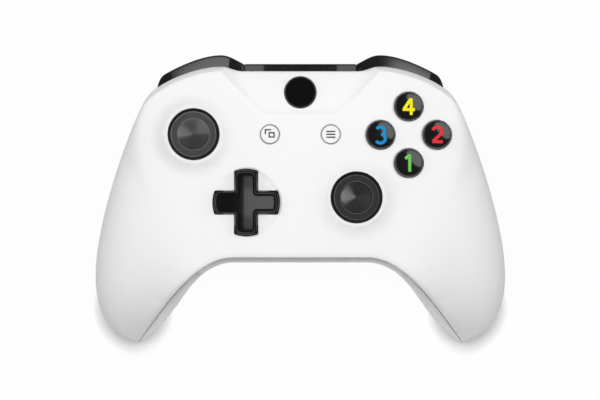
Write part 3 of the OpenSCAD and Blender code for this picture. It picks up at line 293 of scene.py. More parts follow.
def carve(shape, *cutters, keep=False):
    """A closed shape less the cutters, or only what the cutters hold of it."""
    meshes = [new_mesh("carving", s) for s in (shape, join(*cutters))]
    stock, tool = [new_object("carving", mesh) for mesh in meshes]
    cut = stock.modifiers.new("cut", "BOOLEAN")
    cut.object = tool
    cut.operation = "INTERSECT" if keep else "DIFFERENCE"
    cut.solver = "EXACT"
    cut.use_self = True
    left = bpy.data.meshes.new_from_object(stock.evaluated_get(bpy.context.evaluated_depsgraph_get()))
    points = np.array([v.co for v in left.vertices])
    faces = [list(f.vertices) for f in left.polygons]
    for mesh in [left] + meshes:
        bpy.data.meshes.remove(mesh)
    return points, faces


def make_piece(name, coats, body, nodes=(), sharp=32):
    """Mesh piece from (shape, material) pairs, kept within the boxes of the nodes it stands for."""
    points, faces = join(*[shape for shape, _ in coats])
    points = points / 1000 @ np.array(face_frame)[:3, :3].T + np.array(face_frame)[:3, 3]
    if nodes:
        boxes = [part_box(node) for node in nodes]
        points = np.clip(points, np.min([b[0] for b in boxes], 0), np.max([b[1] for b in boxes], 0))
    mesh = new_mesh(name, (points, faces))
    finishes = list(dict.fromkeys(material for _, material in coats))
    for material in finishes:
        mesh.materials.append(material)
    given = [finishes.index(material) for shape, material in coats for _ in shape[1]]
    if len(given) == len(mesh.polygons):
        mesh.polygons.foreach_set("material_index", given)
    mesh.shade_smooth()
    mesh.set_sharp_from_angle(angle=math.radians(sharp))
    obj = new_object(name, mesh)
    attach(obj, body)
    if nodes:
        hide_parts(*nodes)
    return obj


def set_values(node, **values):
    for socket, value in values.items():
        node.inputs[socket.replace("_", " ")].default_value = value
    return node


def add_node(tree, kind, **values):
    return set_values(tree.nodes.new("ShaderNode" + kind), **values)


def wire(tree, *runs):
    """Links, each given as a node and its output, then a node and its input."""
    for source, out, target, into in runs:
        tree.links.new(source.outputs[out], target.inputs[into])


def new_material(name):
    material = bpy.data.materials.new(name)
    material.use_nodes = True
    return material, material.node_tree, material.node_tree.nodes["Principled BSDF"]


def two_tone(tree, first, second):
    tone = tree.nodes.new("ShaderNodeMix")
    tone.data_type = "RGBA"
    return set_values(tone, A=(*first, 1), B=(*second, 1))


# Eroded mould grain, and a slow drift in tone such as any moulding or rolled sheet has
mould_grain = bpy.data.node_groups.new("mould_grain", "ShaderNodeTree")
for socket, way in (("Pitch", "INPUT"), ("Height", "OUTPUT"), ("Drift", "OUTPUT")):
    mould_grain.interface.new_socket(socket, in_out=way, socket_type="NodeSocketFloat")
grain_in = mould_grain.nodes.new("NodeGroupInput")
grain_out = mould_grain.nodes.new("NodeGroupOutput")
grain_place = add_node(mould_grain, "TexCoord")
grain_fine = add_node(mould_grain, "TexNoise", Detail=3)
grain_slow = add_node(mould_grain, "TexNoise", Scale=60, Detail=2)
for noise, socket in ((grain_fine, "Height"), (grain_slow, "Drift")):
    wire(mould_grain, (grain_place, "Object", noise, "Vector"), (noise, "Fac", grain_out, socket))
wire(mould_grain, (grain_in, "Pitch", grain_fine, "Scale"))


def moulded(name, tones, roughness, pitch, depth, **values):
    """Moulded finish: two close tones, a range of roughness and a grain of so many lines a metre."""
    material, tree, shader = new_material(name)
    grain = tree.nodes.new("ShaderNodeGroup")
    grain.node_tree = mould_grain
    set_values(grain, Pitch=pitch)
    tone = two_tone(tree, *tones)
    sheen = add_node(tree, "MapRange", To_Min=roughness[0], To_Max=roughness[1])
    relief = add_node(tree, "Bump", Distance=depth / 1000)
    wire(
        tree, (grain, "Drift", tone, "Factor"), (grain, "Drift", sheen, "Value"),
        (grain, "Height", relief, "Height"), (tone, "Result", shader, "Base Color"),
        (sheen, "Result", shader, "Roughness"), (relief, "Normal", shader, "Normal"),
    )
    set_values(shader, **values)
    return material


face_white = moulded("face_white", [(0.9, 0.9, 0.905), (0.88, 0.88, 0.888)], (0.4, 0.5), 4200, 0.012)

collar_r = 11.3
mound_r, mound_top, mound_power = 17.2, 1.5, 2.4
cross_place, cross_r, cross_arm = (-20.1, -0.8), 12, 7.9
dish_r, dish_depth, dish_lip = cross_r + 0.4, 0.9, 0.3
panel_y, panel_fall = 32.5, math.tan(math.radians(8))
panel_step, panel_roll, panel_crown = 0.95, 0.75, 0.6
crease_y, crease_half, crease_soft = 32.1, 13.7, 2.5
hole_low, bevel = -8, 0.25
strip_w, strip_fall = 1.9, math.tan(math.radians(50))
strip_start, strip_end = (5.4, 6.4), (9.5, 13)
edge_levels = (-4.5, -2.5)
tip_steps = np.array([23.25, 23.5, 23.7, 23.85, 23.95])


def eighths(first, last):
    """Stations from one whole number to another, eight to each."""
    return np.arange(first * 8, last * 8 + 1) / 8


half_steps = np.concatenate([eighths(0, 23), tip_steps])
face_steps = np.concatenate([-half_steps[:0:-1], half_steps])


def face_height(x):
    """Height of the plain face, without mounds, dish or panel."""
    return -face_crown * x * x


cross_base = face_height(cross_place[0])


def moulded_face(grid):
    """The plain grid with the mounds round the sticks, the cross's dish and the sloped panel."""
    x, y, z = grid[..., 0], grid[..., 1], grid[..., 2]
    inside = ease(z, *edge_levels)
    station = np.abs(face_steps)
    strip = strip_w * ease(station, *strip_start) * (1 - ease(station, *strip_end))
    from_edge = np.hypot(x - x[:, :1], y - y[:, :1])
    z = np.maximum(z - strip_fall * np.maximum(strip[:, None] - from_edge, 0), grid[:, :1, 2])
    for centre in stick_places.values():
        t = np.clip((np.hypot(x - centre[0], y - centre[1]) - collar_r) / (mound_r - collar_r), 0, 1)
        z = mix(z, mound_top, (1 - t) ** mound_power)
    r = np.hypot(x - cross_place[0], y - cross_place[1])
    ball = (dish_r**2 + dish_depth**2) / (2 * dish_depth)
    dish = cross_base - dish_depth + ball - np.sqrt(np.maximum(ball**2 - r**2, 0))
    z = np.where(r < dish_r, np.minimum(z, dish - dish_lip * ease(dish_r - r, 0, 0.5)), z)
    rise = np.maximum(y - panel_y, 0)
    side = (crease_half + y - crease_y - np.abs(x)) / math.sqrt(2)
    h = np.clip(0.5 + (side - (y - crease_y)) / (2 * crease_soft), 0, 1)
    depth_in = mix(side, y - crease_y, h) - crease_soft * h * (1 - h)
    slope = -panel_fall * rise - face_height(x)
    step = panel_step * (1 - np.exp(-np.maximum(depth_in, 0) / panel_roll))
    step = step - panel_crown * ease(depth_in, 0.8, 7)
    z = z + inside * (ease(depth_in, -0.2, 4.5) * np.minimum(slope, 0) - step)
    return np.stack([x, y, z], -1)


def cross_outline(grow):
    """The cross's outline, with rounded arm ends and fillets in the inner corners."""
    half, reach, fillet, nose = cross_arm / 2 + grow, cross_r + grow, 0.8 - 0.6 * grow, 0.9
    end = math.sqrt((reach - nose) ** 2 - (half - nose) ** 2)
    inner = half + fillet
    turn = math.degrees(math.atan2(half - nose, end))
    quarter = arc((0, 0), reach, -turn, turn, 15)
    quarter += arc((end, half - nose), nose, turn, 90, 8)[1:]
    quarter += [(x, half) for x in np.linspace(end, inner, 10)[1:-1]]
    quarter += arc((inner, inner), fillet, -90, -180, 9)
    quarter += [(half, y) for y in np.linspace(inner, end, 10)[1:]]
    quarter += arc((half - nose, end), nose, 0, 90 - turn, 8)[1:-1]
    points = []
    for c, s in ((1, 0), (0, 1), (-1, 0), (0, -1)):
        points += [(c * x - s * y, s * x + c * y) for x, y in quarter]
    return np.array(points)


def bevelled_hole(place, r, surface, tilt=0.0):
    """Cutter for a round hole with a broken edge where it meets the surface."""
    profile = [(r, hole_low), (r, surface - bevel), (r + bevel + 0.6, surface + 0.6)]
    points, faces = lathe(profile, place)
    points[:, 2] -= tilt * (points[:, 1] - place[1]) * (points[:, 2] > hole_low + 1)
    return points, faces


button_r, button_gap = 5.3, 0.25
button_places = {
    "upper_button": (40.3, 34.8), "left_button": (29.8, 24.3),
    "right_button": (50.8, 24.3), "lower_button": (40.3, 13.8),
}
small_r = 3.45
small_places = {"view_button": (-11.3, 24.5), "menu_button": (11.3, 24.5)}
guide_r, guide_place = 5.8, (0, 40.1)
guide_base = -panel_fall * (guide_place[1] - panel_y)

stick_bore = [(collar_r - 0.05, hole_low), (collar_r - 0.05, 6)]
hole_cutters = [lathe(stick_bore, p) for p in stick_places.values()]
for places, r in ((button_places, button_r), (small_places, small_r)):
    hole_cutters += [bevelled_hole(p, r + button_gap, face_height(p[0])) for p in places.values()]
hole_cutters.append(bevelled_hole(guide_place, guide_r + button_gap, guide_base, panel_fall))
hole_cutters.append(prism(cross_outline(0.55) + cross_place, hole_low, cross_base - 0.45, 1.2))
face_shape = thick_shell(face_steps, False, shell_wall, True, True, moulded_face)
face_shape = carve(face_shape, *hole_cutters)

# The collars are the faceplate's own plastic, given a brighter white than the face: painted light that
# keeps the ring bright under the stick cap's shade.
collar_painted_bright = moulded(
    "collar_painted_bright", [(0.985, 0.985, 0.985), (0.97, 0.97, 0.972)], (0.25, 0.3), 4200, 0.004
)
collar_profile = [
    (9.1, -1.7), (8.8, -1.4), (9.4, 1.5), (9.46, 1.68), (9.58, 1.78), (9.7, 1.8), (10.9, 1.8),
    (11.02, 1.76), (11.08, 1.66), (11.1, 1.5), (11.1, 1.2), (11.7, 1.1), (11.7, 0.8), (11.0, -1.2),
]
post_places = [(-17, 37), (17, 37), (-42, -11), (42, -11)]
post_profile = [(1.05, -18.1), (2.6, -18.1), (2.6, -2.6), (1.05, -2.6)]
face_coats = [(face_shape, face_white)]
face_coats += [(lathe(collar_profile, p, 160, True), collar_painted_bright) for p in stick_places.values()]
face_coats += [(lathe(post_profile, p, 32, True), face_white) for p in post_places]
make_piece("front_shell_moulding", face_coats, "housing", ["front_shell"], 24)

# Rear shell
# The back half of the housing, moulded in the same white plastic. It bulges a little past the
# faceplate along the lower edge, and has bays for the triggers, a battery opening and socket holes.
bay_in, bay_out, bay_y, bay_top = 20.8, 53.5, 29.5, -14.5
bay_panel = [(18.6, -20.7), (bay_out, -20.7), (bay_out, -28.7), (46.5, -36.9), (18.6, -36.9)]
door_place, door_half, door_corner = (0, 3), (32.6, 19.7), 4
jack_place, jack_r = (7.5, -12.6), 2.75
slot_place, slot_size = (-6, -12.6), (11.6, 4.6)
usb_place, usb_size = (0, -18.5), (8.4, 3.6)


def door_outline(grow):
    x, y, c = door_half[0] + grow, door_half[1] + grow, door_corner
    corners = np.array([(c - x, -y), (x - c, -y), (x, c - y), (x, y - c)])
    return np.concatenate([corners, -corners]) + door_place


def round_slot(size, turns=12):
    """Outline of a slot with half-round ends."""
    right = np.array(arc((size[0] / 2 - size[1] / 2, 0), size[1] / 2, -90, 90, turns))
    return np.concatenate([right, -right])


def through_edge(outline, place, low, high):
    """Cutter or plate: an outline in x and depth, run along y."""
    points, faces = prism(outline, low, high)
    return np.stack([points[:, 0] + place[0], points[:, 2], points[:, 1] + place[1]], 1), faces


def mirrored(shape):
    return shape[0] * (-1, 1, 1), [face[::-1] for face in shape[1]]


back_white = moulded("back_white", [(0.93, 0.93, 0.935), (0.91, 0.91, 0.918)], (0.45, 0.55), 4200, 0.014)
door_low, door_high = back_depth - 1, back_depth + 13
bay_cutter = block((bay_in, bay_y, -80), (bay_out, 80, bay_top))
rear_cutters = [
    bay_cutter, mirrored(bay_cutter), prism(door_outline(0.3), door_low, door_high),
    through_edge(round_slot((2 * jack_r, 2 * jack_r + 0.001)), jack_place, -28, -17),
    through_edge(round_slot(slot_size), slot_place, -28, -17),
    through_edge(round_slot(usb_size), usb_place, 39, 48),
]
rear_cutters += [through_edge(round_slot((2.2, 2.201)), (x, -13.3), 39, 50) for x in (-29.5, 29.5)]
rear_shape = carve(thick_shell(eighths(-12, 12), True, shell_wall, False, False), *rear_cutters)
bay_wall = through_edge(bay_panel, (0, 0), bay_y - shell_wall, bay_y)
rear_coats = [(s, back_white) for s in (rear_shape, bay_wall, mirrored(bay_wall))]
make_piece("rear_shell_moulding", rear_coats, "housing", ["rear_shell"], 40)

# Grip covers
# The two handle backs, moulded apart from the rear shell in the same plastic and snapped over the
# grips. Fine raised dots all over them keep sweaty palms from slipping.
grip_dots, dot_tree, dot_shader = new_material("grip_dots")
dot_place = add_node(dot_tree, "TexCoord")
dot_cells = add_node(dot_tree, "TexVoronoi", Scale=1150)
dot_height = add_node(dot_tree, "MapRange", From_Min=0.15, From_Max=0.55, To_Min=1, To_Max=0)
# The hollows between the dots get a darker tone than the dots' tops: painted shade.
dot_hollow_shade = two_tone(dot_tree, (0.8, 0.8, 0.808), (0.87, 0.87, 0.876))
dot_relief = add_node(dot_tree, "Bump", Distance=0.00006)
set_values(dot_shader, Roughness=0.55)
wire(
    dot_tree, (dot_place, "Object", dot_cells, "Vector"), (dot_cells, "Distance", dot_height, "Value"),
    (dot_height, "Result", dot_relief, "Height"), (dot_height, "Result", dot_hollow_shade, "Factor"),
    (dot_hollow_shade, "Result", dot_shader, "Base Color"), (dot_relief, "Normal", dot_shader, "Normal"),
)

cover_steps = np.concatenate([[12.008], eighths(12, 23)[1:], tip_steps])
groove_w, groove_deep = 0.3, 1.2


def parting_groove(grid):
    """The grid with a fine groove where the cover meets the faceplate's edge."""
    edge, way = grid[:, -1], grid[:, -1, :2] - grid[:, 0, :2]
    way = way / np.linalg.norm(way, axis=1)[:, None]
    fade = ease(cover_steps, 12, 17) * (1 - ease(cover_steps, 23.7, 23.96)) * 0.95 + 0.05
    wide, deep = groove_w * fade, groove_deep * fade
    out = ((grid[..., :2] - edge[:, None, :2]) * way[:, None]).sum(-1)
    push = np.maximum(wide[:, None] - out, 0) * (np.arange(grid.shape[1]) > grid.shape[1] - 8)
    grid = grid + np.concatenate([push[..., None] * way[:, None], np.zeros_like(push)[..., None]], -1)
    floor_far = np.column_stack([edge[:, :2] + way * wide[:, None], edge[:, 2] - deep])
    floor_contact_shade = np.column_stack([edge[:, :2], edge[:, 2] - deep])
    return np.concatenate([grid, floor_far[:, None], floor_contact_shade[:, None], edge[:, None]], 1)


def make_pair(name, coats, node, sharp, body=""):
    """The left and right pieces of a pair, with the right one's shapes given."""
    for side in ("left", "right"):
        sided = [(mirrored(s) if side == "left" else s, material) for s, material in coats]
        make_piece(f"{side}_{name}", sided, body or f"{side}_{node}", [f"{side}_{node}"], sharp)


cover_shape = thick_shell(cover_steps, True, shell_wall, False, True, parting_groove)
make_pair("grip_cover_moulding", [(cover_shape, grip_dots)], "grip_cover", 40, "housing")

# Battery door
# A curved plate that closes the battery bay, moulded like the rear shell and held by a snap tongue.
# Five grooves near its upper edge give the thumb a hold to slide and lift it off.
door_wall = 2
groove_y, groove_step = door_place[1] + door_half[1] - 4, 1.6
door_shape = thick_shell(eighths(-9, 9), True, door_wall, False, False)
door_shape = carve(door_shape, prism(door_outline(0), door_low, door_high), keep=True)
door_grooves = []
for y in [groove_y - groove_step * i for i in range(5)]:
    door_grooves.append(block((-7, y, back_depth - 0.5), (7, y + 0.7, back_depth + 0.5)))
door_shape = carve(door_shape, *door_grooves)
door_coats = [(door_shape, back_white)]
make_piece("battery_door_plate", door_coats, "battery_door", ["battery_door"], 40)

# Top bridge
# The black strip between the shoulder buttons, moulded in gloss plastic. It carries the cable
# socket's opening and the pairing button, and its end tabs hold the shoulder buttons' pins.
bridge_half, bridge_low, bridge_high, bridge_front, bridge_back = 20.6, 44.9, 50.7, -6.8, -23.4
gloss_black = moulded(
    "gloss_black", [(0.005, 0.005, 0.0054), (0.007, 0.007, 0.0074)], (0.1, 0.14), 900, 0.001,
    Coat_Weight=0.5, Coat_Roughness=0.06,
)


def rounded_box(low, high, r, turns=6):
    """Outline of a rectangle with rounded corners."""
    right, left, top, bottom = high[0] - r, low[0] + r, high[1] - r, low[1] + r
    points = []
    for quarter, centre in enumerate([(right, top), (left, top), (left, bottom), (right, bottom)]):
        points += arc(centre, r, 90 * quarter, 90 * quarter + 90, turns)
    return np.array(points)


bridge_section = rounded_box((bridge_low, bridge_back), (bridge_high, bridge_front), 0.6)
bridge_rows = []
for x in np.linspace(-bridge_half, bridge_half, 61):
    row = np.column_stack([np.full(len(bridge_section), x), bridge_section])
    row[:, 2] -= 0.9 * ease(abs(x), 13, 24) * (bridge_section[:, 1] > bridge_front - 1.5)
    bridge_rows.append(row)
sync_x = 14.5
hollow_low = (2 - bridge_half, bridge_low - 1, bridge_back + 2)
hollow_high = (bridge_half - 2, bridge_high - 2, bridge_front - 2.9)
bridge_shape = carve(
    loft(bridge_rows), block(hollow_low, hollow_high),
    through_edge(round_slot((usb_size[0] + 0.8, usb_size[1] + 0.8)), usb_place, 44, 53),
    through_edge(round_slot((4.2, 4.201), 24), (sync_x, usb_place[1]), 44, 53),
)
hinge_y = 48.4
hinge_place = (22.6, hinge_y)
hinge_tab = block((18.6, hinge_y - 1.6, -21.8), (23.6, hinge_y + 2.2, -19.8))
hinge_pin = lathe([(1, -20.1), (1, -9.1)], hinge_place, 32)
bridge_coats = [(bridge_shape, gloss_black)]
for part in (hinge_tab, hinge_pin):
    bridge_coats += [(part, gloss_black), (mirrored(part), gloss_black)]
make_piece("top_bridge_strip", bridge_coats, "housing", ["top_bridge"])


def dress(material, *names):
    """Gives CAD pieces their finish."""
    for name in names:
        materials = frame["nodes"][name].data.materials
        materials.clear()
        materials.append(material)


dress(gloss_black, "sync_button")

# Shoulder buttons
# Long black levers along the upper edge, moulded in satin plastic. Each turns on the bridge's pin
# at its inner end; its front has a long middle facet and a short one at either end.
satin_black = moulded(
    "satin_black", [(0.008, 0.008, 0.0084), (0.011, 0.011, 0.0114)], (0.16, 0.22), 3600, 0.002
)
bumper_outline = [
    (0, 3, [(21, 50.7), (24, 52.2), (26.5, 54), (29.5, 54)]),
    (3, 8, [(29.5, 54), (36, 54), (44, 50.5), (50.2, 47.1)]),
    (8, 11, [(50.2, 47.1), (51.6, 46.3), (52.6, 45), (53.2, 42.2)]),
]
bumper_back, bumper_round = -19.5, 0.7
bumper_t = np.linspace(0, 11, 133)
bumper_s = np.interp(bumper_t, [0, 3, 8, 11], [2.93, 6, 9.35, 9.9])
bumper_rail = along(outer_outline, bumper_s)
bumper_in = bumper_rail + inward(bumper_s) * 1.6
bumper_out = along(bumper_outline, bumper_t)
bumper_front = outer_rim(bumper_rail) - 0.3
facet_in, facet_out, facet_lean = 26.4, 48.4, math.tan(math.radians(15))
inner_dip, outer_dip = 0.24, 0.3
quarter_turn = np.linspace(0, math.pi / 2, 8)
bumper_rows = []
for near, far, front in zip(bumper_in, bumper_out, bumper_front):
    reach = np.linalg.norm(far - near)
    out = (far - near) / reach
    r = min(bumper_round, 0.3 * reach)
    along_front = [(0.0, 0.2), (0.2, 0.0)]
    along_front += [(reach - r + r * math.sin(a), r - r * math.cos(a)) for a in quarter_turn]
    section = []
    for d, dip in along_front:
        x = (near + out * d)[0]
        end_dip = inner_dip * max(facet_in - x, 0) + outer_dip * max(x - facet_out, 0)
        section.append((d, front - facet_lean * min(d, reach - r) - dip - end_dip))
    section += [(reach - r + r * math.cos(a), bumper_back + r - r * math.sin(a)) for a in quarter_turn]
    section.append((0.0, bumper_back))
    bumper_rows.append([(*(near + out * d), z) for d, z in section])
bumper_shape = carve(loft(bumper_rows), lathe([(1.05, -22), (1.05, -5)], hinge_place, 32))
make_pair("bumper_lever", [(bumper_shape, satin_black)], "bumper", 12)

# Triggers
# Hooked finger levers behind the shoulder buttons, moulded in matt black plastic. Two ears turn on
# a steel pin in the frame, against a coil spring, and a pocket holds a small vibration motor.
trigger_black = moulded(
    "trigger_black", [(0.018, 0.018, 0.019), (0.026, 0.026, 0.027)], (0.38, 0.5), 2600, 0.012
)
trigger_in, trigger_out, trigger_top, trigger_round = 22, 52.3, -21.2, 1.2
pin_place, pin_r, ear_r = (40, -20.7), 1.25, 2.7
buzz_place, buzz_r = (42.9, -29), 2.9
lug_in, lug_out, lug_t, ear_t = 22.8, 43, 2, 3
table_fall = math.tan(rest_angle)
table_level = (face_frame.inverted() @ Vector((0, 0, 0))) * 1000


def table_at(y):
    """Height of the table in the face frame."""
    return table_level.z - table_fall * (y - table_level.y)


def trigger_row(x, trim):
    """Section of the lever: down the finger's side, round the tip and up the inside."""
    fall = -0.0135 * max(0, x - 29.5) ** 2
    tip_y, back_y = 47.2 + fall - trim, 43.8 + fall + trim
    low = (tip_y + back_y) / 2
    finger = [(46.2, trigger_top), (50.5, -27), (42.4, -42)]
    finger = [(y + fall - trim, z) for y, z in finger] + [(tip_y, table_at(tip_y) + 1)]
    inside = [(y + 0.4 * fall + trim, z) for y, z in ((39, -43), (37.6, -31), (36.6, trigger_top))]
    inside = [(back_y, table_at(back_y) + 1)] + inside
    nose = [(mix(tip_y, low, 0.45), table_at(low) + 0.3 + trim), (low, table_at(low) + trim)]
    finger, inside = bezier(finger, np.linspace(0, 1, 33)), bezier(inside, np.linspace(0, 1, 21))
    yz = np.concatenate([finger, nose, inside])
    return np.column_stack([np.full(len(yz), x), yz])


def along_x(profile_r, place, low, high, turns=40):
    """Rod along x at a (y, z) place."""
    points, faces = lathe([(profile_r, low), (profile_r, high)], (0, 0), turns)
    return np.stack([points[:, 2], points[:, 0] + place[0], points[:, 1] + place[1]], 1), faces


trigger_turn = np.linspace(0, math.pi / 2, 6)[:-1]
trigger_ends = 0.7 * (1 - np.sin(trigger_turn))
trigger_sides = trigger_round * (1 - np.cos(trigger_turn))
trigger_middle = np.linspace(trigger_in + trigger_round, trigger_out - trigger_round, 41)
trigger_xs = [trigger_in + trigger_sides, trigger_middle, (trigger_out - trigger_sides)[::-1]]
trigger_trims = [trigger_ends, np.zeros(41), trigger_ends[::-1]]
trigger_places = zip(np.concatenate(trigger_xs), np.concatenate(trigger_trims))
pin_high = lug_out + lug_t + 0.4
trigger_shape = carve(
    loft([trigger_row(x, trim) for x, trim in trigger_places]),
    along_x(ear_r + 0.3, pin_place, trigger_in - 1, pin_high + 0.3),
    along_x(buzz_r + 0.1, buzz_place, trigger_in - 1, trigger_in + 16.5),
)
trigger_coats = [(trigger_shape, trigger_black)]
for x in (lug_in + lug_t + 0.3, lug_out - 0.3 - ear_t):
    ear_low = (x + 0.001, pin_place[0] - ear_r, pin_place[1] - ear_r - 0.6)
    ear_high = (x + ear_t - 0.001, pin_place[0] + ear_r, pin_place[1])
    for part in (along_x(ear_r, pin_place, x, x + ear_t), block(ear_low, ear_high)):
        bored = carve(part, along_x(pin_r + 0.05, pin_place, x - 1, x + ear_t + 1))
        trigger_coats.append((bored, trigger_black))
make_pair("trigger_lever", trigger_coats, "trigger", 40)

# Thumbsticks
# Two rubbery black caps on stems, each with a dome that hides the gimbal below the collar. The cap
# has a spun dish in the middle, a knurled band round it and a smooth bevelled rim.
stick_rim = moulded(
    "stick_rim", [(0.003, 0.003, 0.003), (0.004, 0.004, 0.004)], (0.45, 0.55), 2400, 0.006,
    Specular_IOR_Level=0.15,
)
# The two beads are a lighter grey than the rubber round them: a painted highlight along their edges.
stick_bead_painted_highlight = moulded("stick_bead_painted_highlight", [(0.06, 0.06, 0.061), (0.08, 0.08, 0.081)], (0.35, 0.45), 2400, 0.004)
stick_dish = moulded(
    "stick_dish", [(0.013, 0.013, 0.0133), (0.017, 0.017, 0.0173)], (0.2, 0.24), 5200, 0.002,
    Anisotropic=0.9, Anisotropic_Rotation=0.25, Specular_IOR_Level=0.9,
)
dish_tree = stick_dish.node_tree
dish_tangent = add_node(dish_tree, "Tangent")
dish_tangent.direction_type = "UV_MAP"
dish_tangent.uv_map = "spin"
wire(dish_tree, (dish_tangent, "Tangent", dish_tree.nodes["Principled BSDF"], "Tangent"))

# Knurl: two sets of fine grooves that cross at right angles
stick_knurl = moulded(
    "stick_knurl", [(0.012, 0.012, 0.0125), (0.018, 0.018, 0.0185)], (0.5, 0.62), 2000, 0.03
)
knurl_tree = stick_knurl.node_tree
knurl_place = add_node(knurl_tree, "TexCoord")
knurl_cross = add_node(knurl_tree, "Math")
knurl_cross.operation = "MULTIPLY"
for socket, direction in enumerate("XY"):
    wave = add_node(knurl_tree, "TexWave", Scale=420)
    wave.bands_direction = direction
    wire(knurl_tree, (knurl_place, "Object", wave, "Vector"), (wave, "Fac", knurl_cross, socket))
knurl_bump = add_node(knurl_tree, "Bump", Distance=0.00008)
wire(
    knurl_tree, (knurl_cross, 0, knurl_bump, "Height"),
    (knurl_tree.nodes["Bump"], "Normal", knurl_bump, "Normal"),
    (knurl_bump, "Normal", knurl_tree.nodes["Principled BSDF"], "Normal"),
)

cap_r, cap_top, cap_t, dish_edge, dish_dip = 9.65, 9.5, 3.5, 5.9, 0.95
stem_r, bore_r, dome_r, dome_t = 3.7, 2.05, 11.5, 0.9
cap_under = cap_top - cap_t
dome_middle = (0, -pivot_depth)
dome_in = dome_r - dome_t
neck = math.degrees(math.acos((stem_r + 0.4) / dome_r))


def raised(profile, level):
    return [(r, level + z) for r, z in profile]


dish_line = [(0.05, -dish_dip)]
dish_line += [(dish_edge * t, 0.55 * t**1.25 - dish_dip) for t in np.linspace(0.05, 0.97, 14)]
dish_line += [(5.78, -0.33), (5.84, -0.22)]
inner_bead = [(5.84, -0.22), (5.9, -0.14), (5.98, -0.1), (6.08, -0.11)]
band_line = [(6.08, -0.11), (6.2, -0.14), (6.5, -0.2)]
band_line += [(r, -0.2) for r in np.linspace(6.8, 8.0, 7)] + [(8.16, -0.14)]
outer_bead = [(8.16, -0.14), (8.25, -0.06), (8.34, -0.01), (8.42, 0)]
rim_line = [
    (8.42, 0), (8.55, -0.04), (8.7, -0.18), (9.2, -0.7), (9.5, -1.1), (cap_r, -1.6),
    (cap_r, 0.8 - cap_t), (9.5, 0.3 - cap_t), (9.1, -cap_t),
    (stem_r + 0.7, -0.3 - cap_t), (stem_r, -1.1 - cap_t),
]
dome_line = arc(dome_middle, dome_r, neck, 20, 24) + arc(dome_middle, dome_in, 20, 74, 14)
dome_line.append((bore_r, dome_middle[1] + math.sqrt(dome_in**2 - bore_r**2)))
dome_line += [(bore_r, cap_under), (0.05, cap_under)]
stick_zones = [
    (raised(dish_line, cap_top), stick_dish), (raised(inner_bead, cap_top), stick_bead_painted_highlight),
    (raised(band_line, cap_top), stick_knurl), (raised(outer_bead, cap_top), stick_bead_painted_highlight),
    (raised(rim_line, cap_top) + dome_line, stick_rim),
]


def turned_surface(profile, place, turns=144):
    """Turned skin without end caps, for one zone of a piece that has several finishes."""
    points, faces = lathe(profile, place, turns)
    return points, faces[:-2]


for side, place in stick_places.items():
    coats = [(turned_surface(profile, place), material) for profile, material in stick_zones]
    node = f"{side}_thumbstick"
    cap = make_piece(f"{side}_stick_cap", coats, node, [node], 60)
    spin = cap.data.uv_layers.new(name="spin")
    middle = face_frame @ (Vector((*place, 0)) / 1000)
    across_x, across_y = face_frame.col[0].xyz, face_frame.col[1].xyz
    for face in cap.data.polygons:
        arm = face.center - middle
        here = math.atan2(arm.dot(across_y), arm.dot(across_x))
        for corner in face.loop_indices:
            arm = cap.data.vertices[cap.data.loops[corner].vertex_index].co - middle
            turn = math.atan2(arm.dot(across_y), arm.dot(across_x)) - here
            turn = (turn + math.pi) % (2 * math.pi) - math.pi
            spin.data[corner].uv = ((here + turn) / (2 * math.pi), 100 * arm.length)

# Cross pad
# A four-way rocker moulded in one piece of black plastic and polished. A raised rim follows its
# outline, with a bevel down into a shallow thumb hollow.
cross_black = moulded(
    "cross_black", [(0.002, 0.002, 0.0022), (0.003, 0.003, 0.0032)], (0.1, 0.16), 700, 0.0015,
    Coat_Weight=0.8, Coat_Roughness=0.03,
)
cross_top, cross_foot, hollow_ball, hollow_dip = 1.9, -4.9, 60, 1.25
rim_lift, rim_lean, edge_round, net_step = 0.34, 0.11, 0.5, 0.28


def cross_inset(x, y):
    """How far a point lies inside the cross's outline."""
    ax, ay = np.maximum(np.abs(x), np.abs(y)), np.minimum(np.abs(x), np.abs(y))
    half = cross_arm / 2
    corner = np.hypot(np.maximum(half - ax, 0), np.maximum(half - ay, 0))
    side = np.where(ax < half, corner, half - ay)
    return np.minimum(side, cross_r - np.hypot(x, y))


def cross_height(x, y):
    """Height of the hollow, the rim round it and the rim's rounded, slightly leaning edge."""
    deep = cross_inset(x, y)
    hollow = cross_top - hollow_dip + (x * x + y * y) / (2 * hollow_ball)
    rim = rim_lift * (1 - ease(deep, 0.75, 1.45))
    edge = edge_round * (1 - np.sqrt(np.clip(1 - (1 - np.clip(deep / edge_round, 0, 1)) ** 2, 0, 1)))
    return np.minimum(hollow + rim, cross_top) - edge - rim_lean * (1 - np.clip(deep / 1.1, 0, 1))


edge_line = cross_outline(0)
n_edge = len(edge_line)
net_line = np.arange(-cross_r, cross_r + 0.01, net_step)
gx, gy = np.meshgrid(net_line, net_line)
kept = cross_inset(gx, gy) > 0.12
net = np.concatenate([edge_line, np.column_stack([gx[kept], gy[kept]])])
net, _, net_faces, *_ = delaunay_2d_cdt([Vector(p) for p in net], [], [list(range(n_edge))], 1, 1e-5)
net = np.array(net)
cross_face = np.column_stack([net + cross_place, cross_height(net[:, 0], net[:, 1])])
side_heights = (cross_height(edge_line[:, 0], edge_line[:, 1]), np.full(n_edge, cross_foot))
cross_side = np.concatenate([np.column_stack([edge_line + cross_place, z]) for z in side_heights])
side_faces = grid_faces(2, n_edge, 0, True) + [list(range(n_edge, 2 * n_edge))]
cross_shape = join((cross_face, net_faces), (cross_side, side_faces))
cross_hub = lathe([(9.4, -5.1), (9.4, -3.95)], cross_place, 64)
cross_coats = [(cross_shape, cross_black), (cross_hub, cross_black)]
make_piece("cross_pad", cross_coats, "dpad", ["dpad"], 50)

